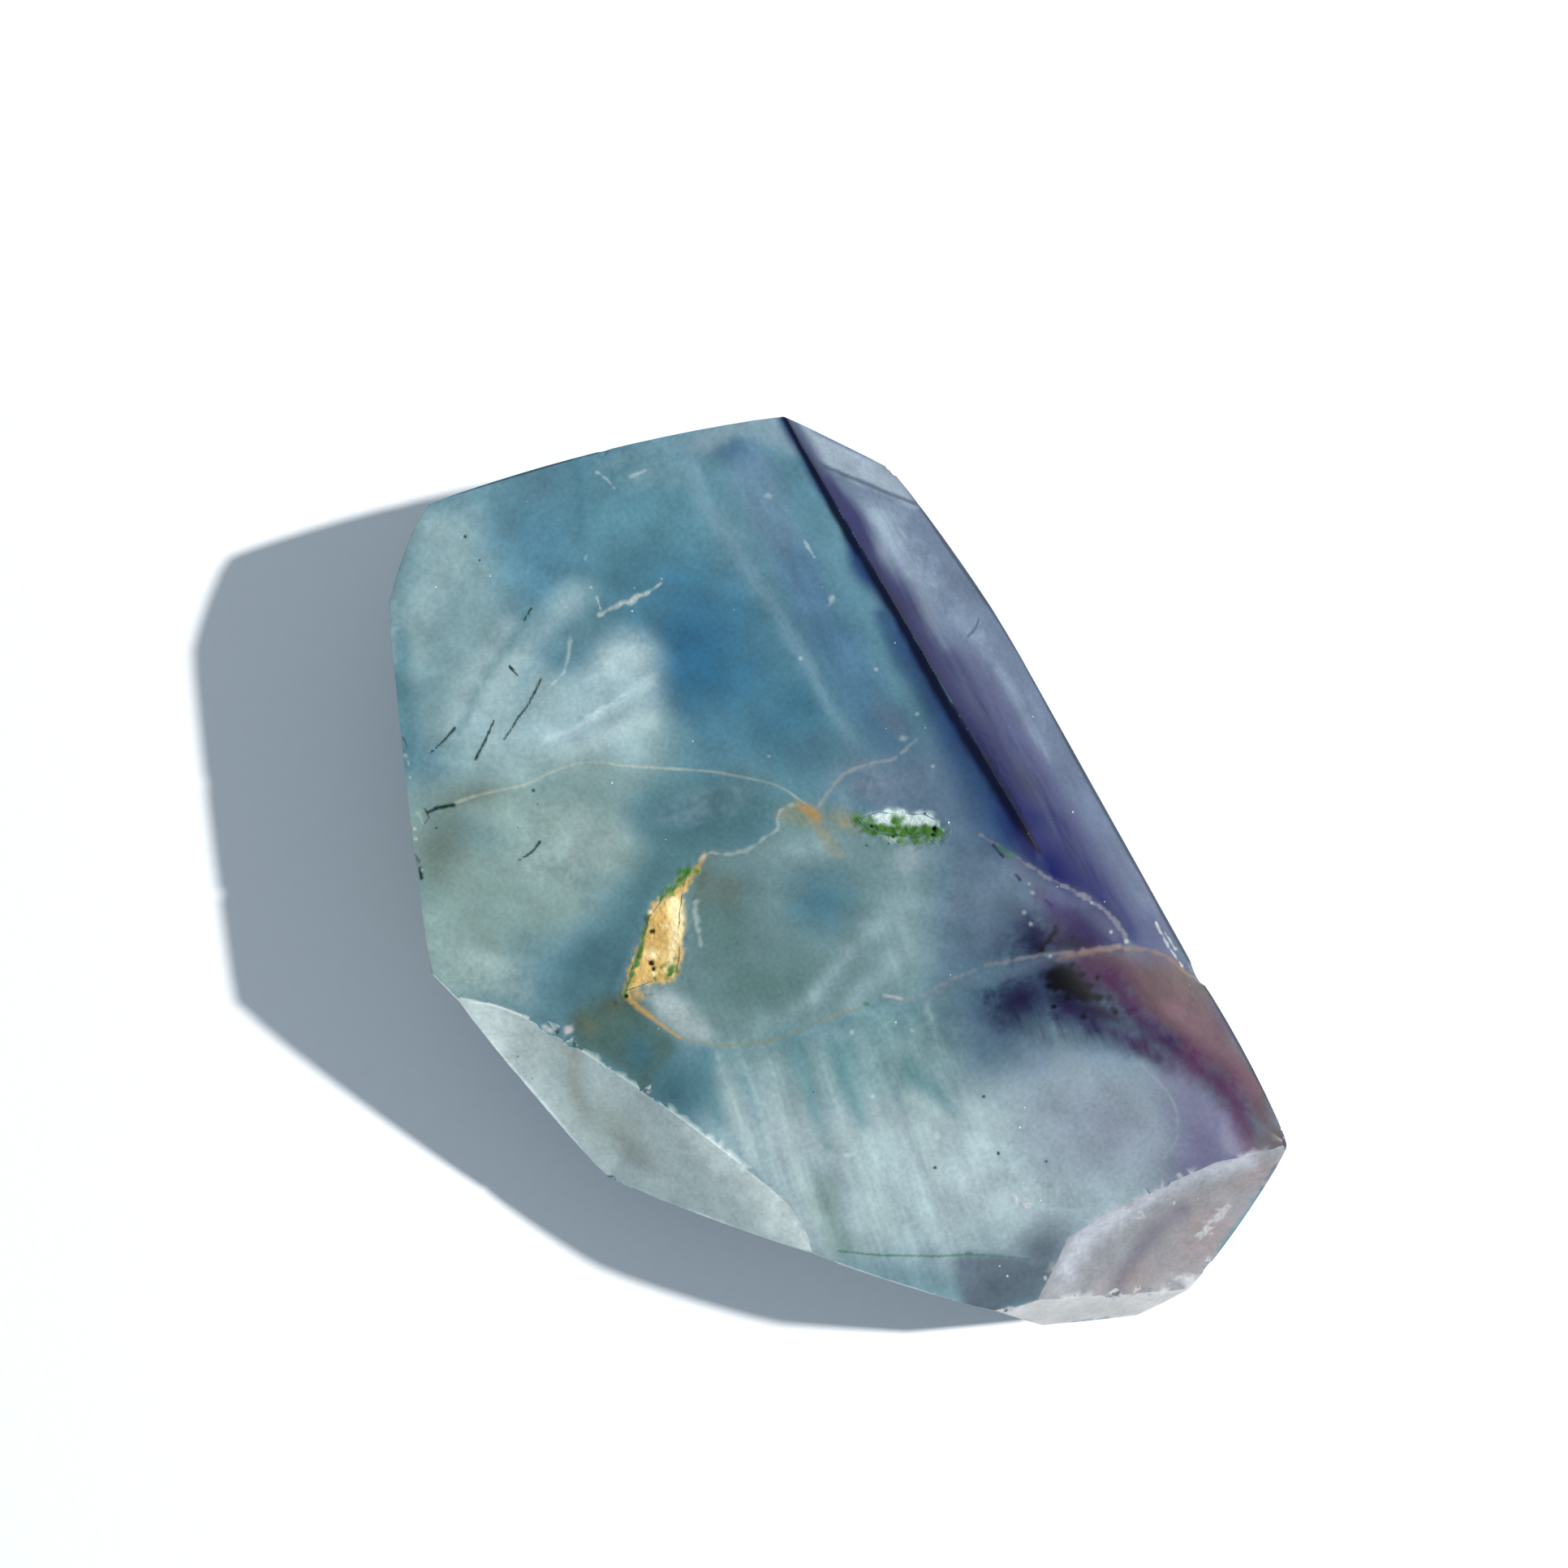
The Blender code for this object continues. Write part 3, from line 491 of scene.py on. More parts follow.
MARKS = (
    # The dark spot and what surrounds it.
    layer("black_spot", (3, 2, 8), 1.0, 0.9,
          patch((1288, 1200, 1302, 1188, 1317, 1185, 1330, 1194, 1340, 1209, 1354, 1225, 1366, 1231,
                1345, 1236, 1319, 1233, 1304, 1225, 1289, 1214), 18),
          stroke((1302, 1145, 1290, 1162, 1279, 1178), 6, 5),
          specks((1352, 1206, 6), (1300, 1240, 6), (1336, 1250, 8), (1372, 1246, 8)), grain="grit",
          side="upper", clear=0.1),
    # The long bevel.
    layer("bevel_line", (40, 60, 84), 0.85, 0.5,
          stroke((1004, 571, 1022, 577, 1045, 587, 1070, 597, 1088, 605, 1131, 622), 5, 4),
          stroke((1098, 570, 1114, 592, 1130, 616), 3.5), stroke((1193, 784, 1202, 774, 1206, 762), 3, 2),
          side="bevel"),
    layer("ridge_black", (0, 1, 26), 0.97, 0.35, stroke(RIDGE_CORE[:8], 6, 13),
          stroke(RIDGE_CORE[6:14], 13, 16), stroke(RIDGE_CORE[12:], 16, 6), full=0.8, side="upper",
          clear=0.05),
    # Fine marks near the surface.
    # Painted shade: a dark line along the rims of the bevel and the tip, and along the top edge.
    layer("rim_painted_shade", (20, 32, 42), 0.72, 0.3, stroke(BEVEL_RIM, 4, 3), stroke(TIP_RIM, 3.5, 4.5),
          stroke((516, 634, 523, 622, 540, 615, 600, 597, 680, 573, 750, 554), 2.6, 1.8), full=0.8,
          side="upper"),
    # Painted highlight: a bright line along the rims of the flank and the keel.
    layer("rim_painted_highlight", (228, 236, 234), 0.7, 0.6, stroke(FLANK_RIM, 3.0), stroke(KEEL_RIM, 2.6),
          stroke((568, 1231, 609, 1239, 651, 1254), 2.6), full=0.8, side="upper"),
    layer("hairline", (178, 184, 168), 0.65, 0.9, stroke(UPPER_FRACTURE, 2.8, 2.2), side="face"),
    layer("branch", (158, 164, 160), 0.6, 1.1, stroke(BRANCH, 4, 3), grain="grit", side="face"),
    layer("faint_lines", (150, 158, 172), 0.5, 1.3,
          stroke((1406, 1311, 1437, 1344, 1450, 1370, 1450, 1403, 1437, 1423, 1427, 1444), 3, 2),
          stroke((1262, 1489, 1280, 1498, 1298, 1508), 3), stroke((702, 1042, 711, 1057), 2, 3),
          stroke((690, 910, 730, 890), 4, 3), side="face"),
    layer("ribbons", (142, 140, 146), 0.55, 1.6, stroke(LOWER_FRACTURE, 2.2, 5),
          stroke(VIOLET_FRACTURE, 2.6, 5), grain="grit", side="upper"),
    layer("brown_ribbon", (128, 104, 92), 0.7, 0.8,
          stroke((1304, 1181, 1348, 1172, 1392, 1168, 1432, 1176, 1467, 1203), 7, 3), grain="grit",
          side="upper"),
    layer("ribbon_glints", (176, 182, 184), 0.8, 0.9, stroke((1089, 1226, 1100, 1228, 1110, 1231), 3.0),
          specks((1262, 1124, 4), (1270, 1138, 4), (1272, 1100, 4), (1268, 1089, 3), (1388, 1160, 5),
                 (1345, 1112, 3), (1369, 1148, 3), (1294, 1178, 3)), grain="grit", side="upper"),
    layer("violet_specks", (34, 24, 74), 0.85, 0.7, stroke((1224, 1041, 1236, 1056), 3.0),
          stroke((1252, 1078, 1257, 1084), 3.5), stroke((1289, 1109, 1296, 1116), 3.5), start=0.1,
          full=0.9, grain="grit", side="face"),
    layer("olive_rim", (138, 144, 110), 0.5, 1.2, stroke(LOWER_RIM[8:], 5, 3), blob(985, 1008, 28, 15),
          side="face"),
    layer("stained_rim", (186, 150, 84), 0.85, 0.6, stroke(LOWER_RIM[:6], 8, 4.5),
          stroke(LOWER_RIM[4:10], 3.4, 2.4), stroke((868, 1052, 861, 1066, 853, 1078), 5, 8),
          blob(786, 1224, 16, 15, 30), grain="grit", side="upper", clear=0.1),
    layer("orange", (176, 130, 52), 0.8, 0.8,
          patch((982, 992, 996, 993, 1009, 999, 1013, 1008, 1004, 1010, 992, 1001), 14), side="face",
          clear=0.1),
    layer("rim_glints", (168, 182, 178), 0.65, 1.3, stroke(STEPPED_RIM, 3),
          stroke((930, 1042, 918, 1048, 908, 1051), 5, 4),
          stroke((857, 1112, 857, 1130, 861, 1148, 864, 1164), 6, 4), grain="grit", side="face"),
    layer("flakes", (214, 212, 204), 0.9, 0.8, blob(676, 1268, 15, 6, 38), blob(699, 1270, 14, 8, -50),
          grain="grit", side="upper"),
    layer("needles", (22, 50, 40), 1.0, 0.6,
          stroke((666, 837, 661, 849, 655, 860, 649, 871, 638, 885, 629, 900, 621, 911), 2.4, 1.8),
          stroke((609, 887, 601, 905, 595, 918, 586, 935), 1.6, 3.2),
          stroke((628, 821, 632, 826, 637, 832), 2.2),
          stroke((560, 897, 552, 907, 542, 917, 530, 928), 3.0, 1.2),
          stroke((655, 749, 650, 757, 646, 764), 1.5), stroke((665, 1037, 658, 1047, 651, 1053), 2.8, 2.2),
          stroke((651, 1053, 644, 1057, 637, 1061), 1.8, 1.0),
          stroke((527, 1001, 538, 996, 558, 992), 3.4, 4.0), stroke((518, 1070, 519, 1082), 3.5),
          specks((573, 661, 3), (657, 974, 3), (663, 991, 2), (708, 991, 2), (638, 1020, 2),
                 (1068, 1042, 2), (1152, 1439, 3), (1212, 1351, 3), (1230, 1421, 3), (1289, 1431, 3),
                 (638, 1302, 2)), start=0.05, full=0.75, grain="grit", side="upper"),
    layer("green_hair", (66, 118, 90), 0.8, 0.7,
          stroke((1033, 1541, 1079, 1546, 1117, 1547, 1155, 1548, 1188, 1546, 1232, 1548,
                 1270, 1552), 2.0, 1.4), blob(1194, 1545, 9, 4),
          stroke((1232, 1045, 1241, 1050, 1250, 1056), 6, 4), blob(1068, 1237, 7, 4), start=0.05, full=0.8,
          grain="grit", side="upper"),
    layer("white_veins", (184, 202, 204), 0.7, 1.3,
          stroke((702, 786, 701, 804, 697, 819, 693, 830, 680, 844), 3.2, 2.4),
          stroke((724, 884, 751, 868, 768, 856), 5, 3), stroke((735, 582, 745, 588, 757, 602), 3, 2),
          stroke((776, 588, 796, 579), 3, 2), stroke((992, 668, 1003, 686), 2.4),
          specks((702, 790, 6), (747, 819, 4), (650, 1071, 6), (721, 689, 5), (947, 610, 6),
                 (1022, 740, 7), (987, 811, 3), (1079, 825, 3), (1149, 945, 4), (1114, 911, 7),
                 (1131, 880, 4), (948, 932, 3), (1075, 1352, 5), (1050, 1272, 4), (1155, 1400, 6),
                 (1046, 1424, 7), (1124, 1270, 4)), grain="grit", side="upper"),
    # Frosted chips, with painted highlight: their pale specks also stand for the sparkle on them. They are
    # rougher and sunk a little too.
    layer("frosted_chips_and_sparkle", (164, 166, 167), 0.8, 1.5,
          specks((1262, 1485, 7), (1249, 1477, 6), (499, 930, 6), (503, 941, 4), (511, 1022, 4),
                 (512, 1034, 4), (505, 957, 3), (520, 1072, 3), (1131, 621, 4), (1488, 1553, 7),
                 (1452, 1450, 6), (1392, 1494, 6), (1404, 1500, 7), (1446, 1483, 4), (1373, 1599, 5),
                 (1380, 1596, 4), (1417, 1594, 4), (1243, 1613, 6), (764, 1461, 5), (751, 1315, 4),
                 (799, 1346, 4), (712, 1289, 4), (657, 1329, 3), (1288, 1577, 4), (1587, 1406, 4)),
          stroke((1424, 1138, 1440, 1166, 1456, 1190), 3, 2), stroke((1436, 1150, 1448, 1170), 2.2),
          stroke((1478, 1524, 1498, 1500, 1512, 1488), 9, 6), start=0.1, full=0.9, grain="grit",
          side="upper", clear=0.0, rough=0.5, relief=0.03),
    layer("scratch", (164, 173, 167), 0.95, 1.1,
          stroke((738, 758, 748, 752, 766, 744, 776, 742, 785, 735), 4, 6),
          stroke((785, 735, 799, 729, 814, 719), 6, 2), stroke((735, 736, 739, 750), 2.4),
          specks((728, 724, 2.4), (782, 725, 2.2), (815, 713, 2)), grain="grit", side="face", clear=0.0,
          rough=0.6, relief=0.04),
    # The crusts in the two pockets.
    layer("crust_tan", (192, 158, 94), 1.0, 0.7, patch(TAN_POCKET, 12), full=0.7, grain="grit",
          side="upper", clear=0.0, rough=0.85, relief=0.01),
    layer("crust_cream", (228, 208, 158), 1.0, 0.7,
          stroke((830, 1110, 834, 1140, 830, 1168, 826, 1195), 15, 11), blob(806, 1176, 16, 10),
          specks((821, 1141, 6), (812, 1107, 5), (801, 1124, 5), (806, 1199, 7)), side="upper"),
    layer("crust_green", (58, 104, 40), 1.0, 1.1,
          stroke((850, 1072, 838, 1084, 826, 1096, 814, 1108), 13, 8),
          stroke((798, 1130, 790, 1168, 780, 1198, 769, 1228), 5, 6), blob(828, 1196, 18, 13, -20),
          specks((815, 1192, 5), (807, 1205, 4), (832, 1180, 5)), grain="grit", side="upper", clear=0.0,
          rough=0.8),
    layer("crust_frost", (172, 188, 184), 1.0, 0.5, patch(GREEN_POCKET, 12), full=0.7, grain="grit",
          side="upper", clear=0.0, rough=0.7, relief=0.01),
    layer("crust_moss", (50, 92, 30), 1.0, 0.7,
          stroke((1060, 1010, 1082, 1022, 1118, 1027, 1156, 1026), 14, 17), blob(1104, 1012, 15, 11),
          full=0.8, grain="grit", side="upper", clear=0.0, rough=0.8, relief=0.02),
    # Painted shade: near-black in the crusts' small pits, which are also sunk a little.
    layer("crust_pits_painted_shade", (12, 18, 8), 1.0, 0.5,
          specks((803, 1147, 5), (803, 1186, 5), (806, 1194, 5), (1151, 1021, 4), (1149, 1029, 3),
                 (1073, 1018, 3), (771, 1227, 4), (1100, 1031, 3), (1139, 1003, 2)), start=0.1, full=0.7,
          grain="grit", side="upper", clear=0.0, rough=0.9, relief=0.14),
)


def smooth_line(given, closed=False, steps=4):
    """More points along a Catmull-Rom curve through a few."""
    if closed:
        given = np.concatenate([given[-1:], given, given[:2]])
    else:
        given = np.concatenate([2 * given[:1] - given[1:2], given, 2 * given[-1:] - given[-2:-1]])
    line = []
    for a, b, c, d in zip(given, given[1:], given[2:], given[3:]):
        for i in range(steps):
            t = i / steps
            line.append(0.5 * (2 * b + (c - a) * t + (2 * a - 5 * b + 4 * c - d) * t**2
                               + (3 * b - a - 3 * c + d) * t**3))
    if not closed:
        line.append(given[-2])
    return np.array(line)


def to_segments(x, y, start, end):
    """The distance to one straight piece, and the share of it at the nearest point."""
    along = end - start
    share = ((x - start[0]) * along[0] + (y - start[1]) * along[1]) / max(along @ along, 1e-9)
    share = np.clip(share, 0, 1)
    return np.hypot(x - start[0] - along[0] * share, y - start[1] - along[1] * share), share


def blob_field(x, y, at, reach, turn):
    across = (x - at[0]) * math.cos(turn) + (y - at[1]) * math.sin(turn)
    down = (y - at[1]) * math.cos(turn) - (x - at[0]) * math.sin(turn)
    return 1.0 - np.hypot(across / reach[0], down / reach[1])


def specks_field(x, y, spots, *_):
    return np.max([1.0 - np.hypot(x - at_x, y - at_y) / radius for at_x, at_y, radius in spots], axis=0)


def stroke_field(x, y, given, reach, end_reach):
    line = smooth_line(given)
    best = np.full(len(x), -np.inf)
    for i, (start, end) in enumerate(zip(line, line[1:])):
        distance, share = to_segments(x, y, start, end)
        here = reach + (end_reach - reach) * (i + share) / (len(line) - 1)
        best = np.maximum(best, 1.0 - distance / here)
    return best


def patch_field(x, y, outline, edge, _):
    line = smooth_line(outline, closed=True)
    nearest = np.full(len(x), np.inf)
    inside = np.zeros(len(x), bool)
    for start, end in zip(line, np.roll(line, -1, axis=0)):
        nearest = np.minimum(nearest, to_segments(x, y, start, end)[0])
        if start[1] != end[1]:
            crosses = (start[1] > y) != (end[1] > y)
            inside ^= crosses & (x < start[0] + (y - start[1]) * (end[0] - start[0]) / (end[1] - start[1]))
    return np.minimum(0.5 + np.where(inside, nearest, -nearest) / edge, FIELD_TOP)


FIELD_OF = {"blob": blob_field, "specks": specks_field, "stroke": stroke_field, "patch": patch_field}


def shape_field(shape, x, y):
    """A shape's field at places in the photograph: 1 in its middle, 0 at its edge, less outside."""
    kind, first, second, third = shape
    points = np.atleast_2d(first)[:, :2]
    margin = max(second) if kind == "blob" else CULL_PX
    low = points.min(axis=0) - 2 * margin
    high = points.max(axis=0) + 2 * margin
    near = (x > low[0]) & (x < high[0]) & (y > low[1]) & (y < high[1])
    field = np.full(len(x), FIELD_FLOOR)
    field[near] = np.maximum(FIELD_OF[kind](x[near], y[near], first, second, third), FIELD_FLOOR)
    return field


def photo_place(points):
    """Where each point of the stone shows in the photograph."""
    scale = GROUND_PX * (1.0 - points[:, 2] / CAMERA_AT[2])
    x = points[:, 0] - CAMERA_AT[0]
    y = points[:, 1] - CAMERA_AT[1]
    cos, sin = math.cos(CAMERA_TURN), math.sin(CAMERA_TURN)
    return FRAME_PX / 2 + (x * cos + y * sin) / scale, FRAME_PX / 2 - (y * cos - x * sin) / scale


def waves(points, size, seed):
    """Smooth unevenness about 0 with bumps of about that size, made from turned sine waves."""
    rng = np.random.default_rng(seed)
    total = np.zeros(len(points))
    for _ in range(WAVES):
        direction = rng.normal(size=3)
        direction *= rng.uniform(0.6, 1.6) * math.tau / (2 * size) / np.linalg.norm(direction)
        total += np.sin(points @ direction + rng.uniform(0, math.tau))
    return total / math.sqrt(WAVES)


def rough_waves(points, size, finer, seed):
    """The same with finer bumps in it."""
    return 0.6 * waves(points, size, seed) + 0.4 * waves(points, finer, seed + 1)


def wanted_edges(points):
    """How long an edge may be at each point: short by the crisp marks, longer away from them."""
    x, y = photo_place(points)
    wanted = np.full(len(points), UPPER_EDGE)
    for mark in MARKS:
        for shape in mark.shapes:
            field = shape_field(shape, x, y)
            reach = shape[2] / 2 if shape[0] == "patch" else np.max(shape[2])
            away = np.abs(field - 0.5) if shape[0] == "patch" else np.maximum(-field, 0)
            near = DETAIL_EDGE + DETAIL_GROWTH * away * reach * GROUND_PX
            wanted = np.where(field > FIELD_FLOOR, np.minimum(wanted, near), wanted)
    return np.where(points[:, 2] > DETAIL_FROM, wanted, EVEN_EDGE)


def even_edges(points):
    return np.full(len(points), EVEN_EDGE)


def cut_finer(points, triangles, wanted_at):
    """Cuts every edge that is too long at its middle, and the triangles with it, until none is."""
    wanted = wanted_at(points)
    for _ in range(MOST_ROUNDS):
        sides = np.sort(triangles[:, [[0, 1], [1, 2], [2, 0]]].reshape(-1, 2), axis=1)
        keys, edge_of = np.unique(sides[:, 0] * len(points) + sides[:, 1], return_inverse=True)
        edge_of = edge_of.reshape(-1, 3)
        ends = np.stack([keys // len(points), keys % len(points)], axis=1)
        length = np.linalg.norm(points[ends[:, 0]] - points[ends[:, 1]], axis=1)
        cut = length > wanted[ends].min(axis=1)
        if not cut.any():
            break
        middles = points[ends[cut]].mean(axis=1)
        number = np.full(len(keys), -1)
        number[cut] = len(points) + np.arange(cut.sum())
        points = np.concatenate([points, middles])
        wanted = np.concatenate([wanted, wanted_at(middles)])
        triangles = split_triangles(triangles, number[edge_of])
    return points, triangles


def split_triangles(triangles, middle):
    """Each triangle as one to four, by which of its sides have a middle point."""
    count = (middle >= 0).sum(axis=1)
    made = [triangles[count == 0]]
    for turn in range(3):
        corner = np.roll(triangles, -turn, axis=1)
        side = np.roll(middle, -turn, axis=1)
        a, b, c = corner.T
        ab, bc, _ = side.T
        one = (count == 1) & (ab >= 0)
        made += [np.stack(t, axis=1)[one] for t in ((a, ab, c), (ab, b, c))]
        two = (count == 2) & (ab >= 0) & (bc >= 0)
        made += [np.stack(t, axis=1)[two] for t in ((ab, b, bc), (a, ab, bc), (a, bc, c))]
    a, b, c = triangles.T
    ab, bc, ca = middle.T
    quarters = ((a, ab, ca), (ab, b, bc), (ca, bc, c), (ab, bc, ca))
    made += [np.stack(t, axis=1)[count == 3] for t in quarters]
    return np.concatenate(made)


def face_normals(points, triangles):
    """Each triangle's normal, twice its area long."""
    a, b, c = points[triangles].transpose(1, 0, 2)
    return np.cross(b - a, c - a)


def point_normals(points, triangles):
    normals = np.zeros_like(points)
    for corner in triangles.T:
        np.add.at(normals, corner, face_normals(points, triangles))
    return normals / np.maximum(np.linalg.norm(normals, axis=1, keepdims=True), 1e-20)


def on_ridges(points, triangles):
    """Which points lie on an edge where the surface turns."""
    normals = face_normals(points, triangles)
    normals /= np.maximum(np.linalg.norm(normals, axis=1, keepdims=True), 1e-20)
    sides = np.sort(triangles[:, [[0, 1], [1, 2], [2, 0]]].reshape(-1, 2), axis=1)
    order = np.lexsort((sides[:, 1], sides[:, 0]))
    sides = sides[order].reshape(-1, 2, 2)[:, 0]
    pairs = (order // 3).reshape(-1, 2)
    turned = np.einsum("ij,ij->i", normals[pairs[:, 0]], normals[pairs[:, 1]]) < PINNED_TURN
    ridge = np.zeros(len(points), bool)
    ridge[sides[turned].ravel()] = True
    return ridge


def ridge_end_field(points, reach):
    """The field of a band along the fading end of the long ridge."""
    return stroke_field(*photo_place(points), places(RIDGE_END), reach, reach)


def smooth_facets(points, triangles):
    """Evens out the facets between the ridges, which stay in place apart from the one that fades away."""
    fading = ridge_end_field(points, FADING_PX) > 0
    free = ~on_ridges(points, triangles) | (fading & (points[:, 2] > DETAIL_FROM))
    starts = triangles[:, [0, 1, 2, 1, 2, 0]].ravel()
    ends = triangles[:, [1, 2, 0, 0, 1, 2]].ravel()
    links = np.bincount(starts, minlength=len(points))
    for _ in range(SMOOTH_ROUNDS):
        mean = np.stack([np.bincount(starts, points[ends, i], len(points)) for i in range(3)], axis=1)
        mean /= links[:, None]
        points = np.where(free[:, None], 0.5 * (points + mean), points)
    return points


def crumble(points, fields):
    """Crusts with lumps and pits, nearly level with the pockets' brims, and marks sunk by their relief."""
    points = points.copy()
    x, y = photo_place(points)
    lumps = rough_waves(points, LUMP, CRUMB, 5)
    for outline in (TAN_POCKET, GREEN_POCKET):
        near = shape_field(patch(outline, BRIM_PX), x, y) > FIELD_FLOOR
        near &= (points[:, 2] > STONE_TOP - POCKET_DEEP) & (points[:, 2] < STONE_TOP - CRUMB_BELOW)
        points[near, 2] = STONE_TOP - CRUMB_BELOW - CRUST_LUMPS * (1 - lumps[near])
    for mark in MARKS:
        if mark.relief:
            rise = (fields[mark.name] - mark.start) / (mark.full - mark.start)
            points[:, 2] -= np.clip(rise, 0, 1) * mark.relief * MM * (1 - lumps)
    points[:, 2] = np.minimum(points[:, 2], STONE_TOP)
    return points


def facet_part(normals, side):
    """How far each point belongs to a facet, from 0 to 1."""
    facing, spread = FACET_FACING[side]
    turn = np.degrees(np.arccos(np.clip(normals @ (np.array(facing) / np.linalg.norm(facing)), -1, 1)))
    return np.clip((spread - turn) / FACET_EDGE + 0.5, 0, 1)


def fields_of(layers, x, y, normals):
    """Each layer's field at every point that shows at x and y, kept to the layer's own facets."""
    fields = {}
    for grown in layers:
        field = np.max([shape_field(shape, x, y) for shape in grown.shapes], axis=0)
        if grown.side != "all":
            field = FIELD_FLOOR + (field - FIELD_FLOOR) * facet_part(normals, grown.side)
        fields[grown.name] = field
    return fields


def mark_fields(points, normals):
    """The marks' fields: their edges are as ragged as their grain makes them."""
    fields = fields_of(MARKS, *photo_place(points), normals)
    shakes = {
        "mottle": rough_waves(points, MOTTLE, MOTTLE / 3, 11),
        "grit": waves(points, GRIT, 13),
    }
    for mark in MARKS:
        field = fields[mark.name]
        near = np.clip(field - FIELD_FLOOR, 0, 1)
        fields[mark.name] = field + MARK_REACH * mark.ragged * near * shakes[mark.grain]
    return fields


def zone_fields(points, normals):
    """The zones' fields: their edges wander a little, and more the deeper they are."""
    depth = np.clip((DETAIL_FROM - points[:, 2]) / DETAIL_FROM, 0, 1)
    x, y = photo_place(points)
    x = x + WANDER_PX * waves(points, WANDER, 1) + DEEP_WANDER_PX * depth * waves(points, DEEP_WANDER, 3)
    y = y + WANDER_PX * waves(points, WANDER, 2) + DEEP_WANDER_PX * depth * waves(points, DEEP_WANDER, 4)
    fields = fields_of(ZONES, x, y, normals)
    billow = GRAIN_REACH * waves(points, BILLOW, 8)
    for zone in ZONES:
        if zone.grain == "billow":
            fields[zone.name] += zone.ragged * billow
    return fields


def stone_colours(points, zones, marks):
    """The stone's colour where its grain is thin and where it is full, and each grain's share."""
    wide = np.clip(0.5 + 0.5 * waves(points, BILLOW, 7), 0, 1)[:, None]
    cloud = 1 + CLOUD_CHANGE * rough_waves(points, CLOUD, CLOUD / 2, 9)[:, None]
    body = linear(BODY_COLOUR) + BODY_CHANGE * wide * (linear(BODY_OTHER) - linear(BODY_COLOUR))
    thin, full = body.copy(), body.copy()
    shares = np.zeros((len(points), 3))
    for zone in ZONES:
        shake = 0.0 if zone.grain == "billow" else GRAIN_REACH * zone.ragged
        for colour, field in ((thin, zones[zone.name] - shake), (full, zones[zone.name] + shake)):
            part = part_of(zone, field)[:, None]
            colour += part * (linear(zone.colour) - colour)
            share = np.array([zone.grain == grain for grain in GRAINS], float)
            shares += part * (share - shares)
    for mark in MARKS:
        part = part_of(mark, marks[mark.name])[:, None]
        for colour in (thin, full):
            colour += part * (linear(mark.colour) - colour)
    return thin * cloud, full * cloud, shares


def part_of(grown, field):
    """How much of a layer shows, from 0 to its strength."""
    rise = np.clip((field - grown.start) / (grown.full - grown.start), 0, 1)
    return rise * rise * (3 - 2 * rise) * grown.strength


def finish_of(points, fields):
    """How clear, how rough and how crumbly the stone is at every point."""
    clear = np.full(len(points), BODY_CLEAR)
    rough = np.full(len(points), BODY_ROUGH)
    crumbly = np.zeros(len(points))
    worn = ridge_end_field(points, WORN_PX) * (points[:, 2] > DETAIL_FROM)
    rough += np.clip(worn, 0, 1) * (WORN_ROUGH - rough)
    for grown in ZONES + MARKS:
        part = part_of(grown, fields[grown.name])
        if grown.clear is not None:
            clear += part * (grown.clear - clear)
        if grown.rough is not None:
            rough += part * (grown.rough - rough)
            crumbly += part * (1 - crumbly)
    return clear, rough, crumbly


def set_vectors(mesh, name, columns):
    """Keeps three numbers of every point in the mesh."""
    values = np.stack(columns, axis=1).astype(np.float32).ravel()
    mesh.attributes.new(name, "FLOAT_VECTOR", "POINT").data.foreach_set("vector", values)


def fine_stone(node):
    """The stone as a new object, with its colours and finish in its mesh."""
    source = node.data
    corners = np.zeros(len(source.vertices) * 3)
    source.vertices.foreach_get("co", corners)
    source.calc_loop_triangles()
    loops = np.zeros(len(source.loop_triangles) * 3, np.int64)
    source.loop_triangles.foreach_get("vertices", loops)
    rounded = np.round(corners.reshape(-1, 3) / WELD).astype(np.int64)
    _, first, welded = np.unique(rounded, axis=0, return_index=True, return_inverse=True)
    points = corners.reshape(-1, 3)[first]
    triangles = welded.reshape(-1)[loops].reshape(-1, 3)
    whole = (triangles[:, 0] != triangles[:, 1]) & (triangles[:, 1] != triangles[:, 2])
    triangles = triangles[whole & (triangles[:, 2] != triangles[:, 0])]

    points, triangles = cut_finer(points, triangles, even_edges)
    points = smooth_facets(points, triangles)
    points, triangles = cut_finer(points, triangles, wanted_edges)
    normals = point_normals(points, triangles)
    marks = mark_fields(points, normals)
    zones = zone_fields(points, normals)
    points = crumble(points, marks)

    mesh = bpy.data.meshes.new("stone")
    mesh.vertices.add(len(points))
    mesh.vertices.foreach_set("co", points.astype(np.float32).ravel())
    mesh.loops.add(len(triangles) * 3)
    mesh.loops.foreach_set("vertex_index", triangles.astype(np.int32).ravel())
    mesh.polygons.add(len(triangles))
    mesh.polygons.foreach_set("loop_start", np.arange(0, len(triangles) * 3, 3, dtype=np.int32))
    mesh.update(calc_edges=True)
    mesh.validate()
    for name, values in zip((THIN, FULL, SHARES), stone_colours(points, zones, marks)):
        set_vectors(mesh, name, values.T)
    set_vectors(mesh, FINISH, finish_of(points, zones | marks))
    mesh.shade_smooth()
    mesh.set_sharp_from_angle(angle=SHARP_TURN)
    stone = bpy.data.objects.new("polished_stone", mesh)
    bpy.context.scene.collection.objects.link(stone)
    even = stone.modifiers.new("flat facets", "WEIGHTED_NORMAL")
    even.keep_sharp = True
    return stone


def linear(colour):
    """A colour given from 0 to 255, as the light it stands for."""
    return np.array([((c / 255 + 0.055) / 1.055) ** 2.4 if c > 10 else c / 255 / 12.92 for c in colour])


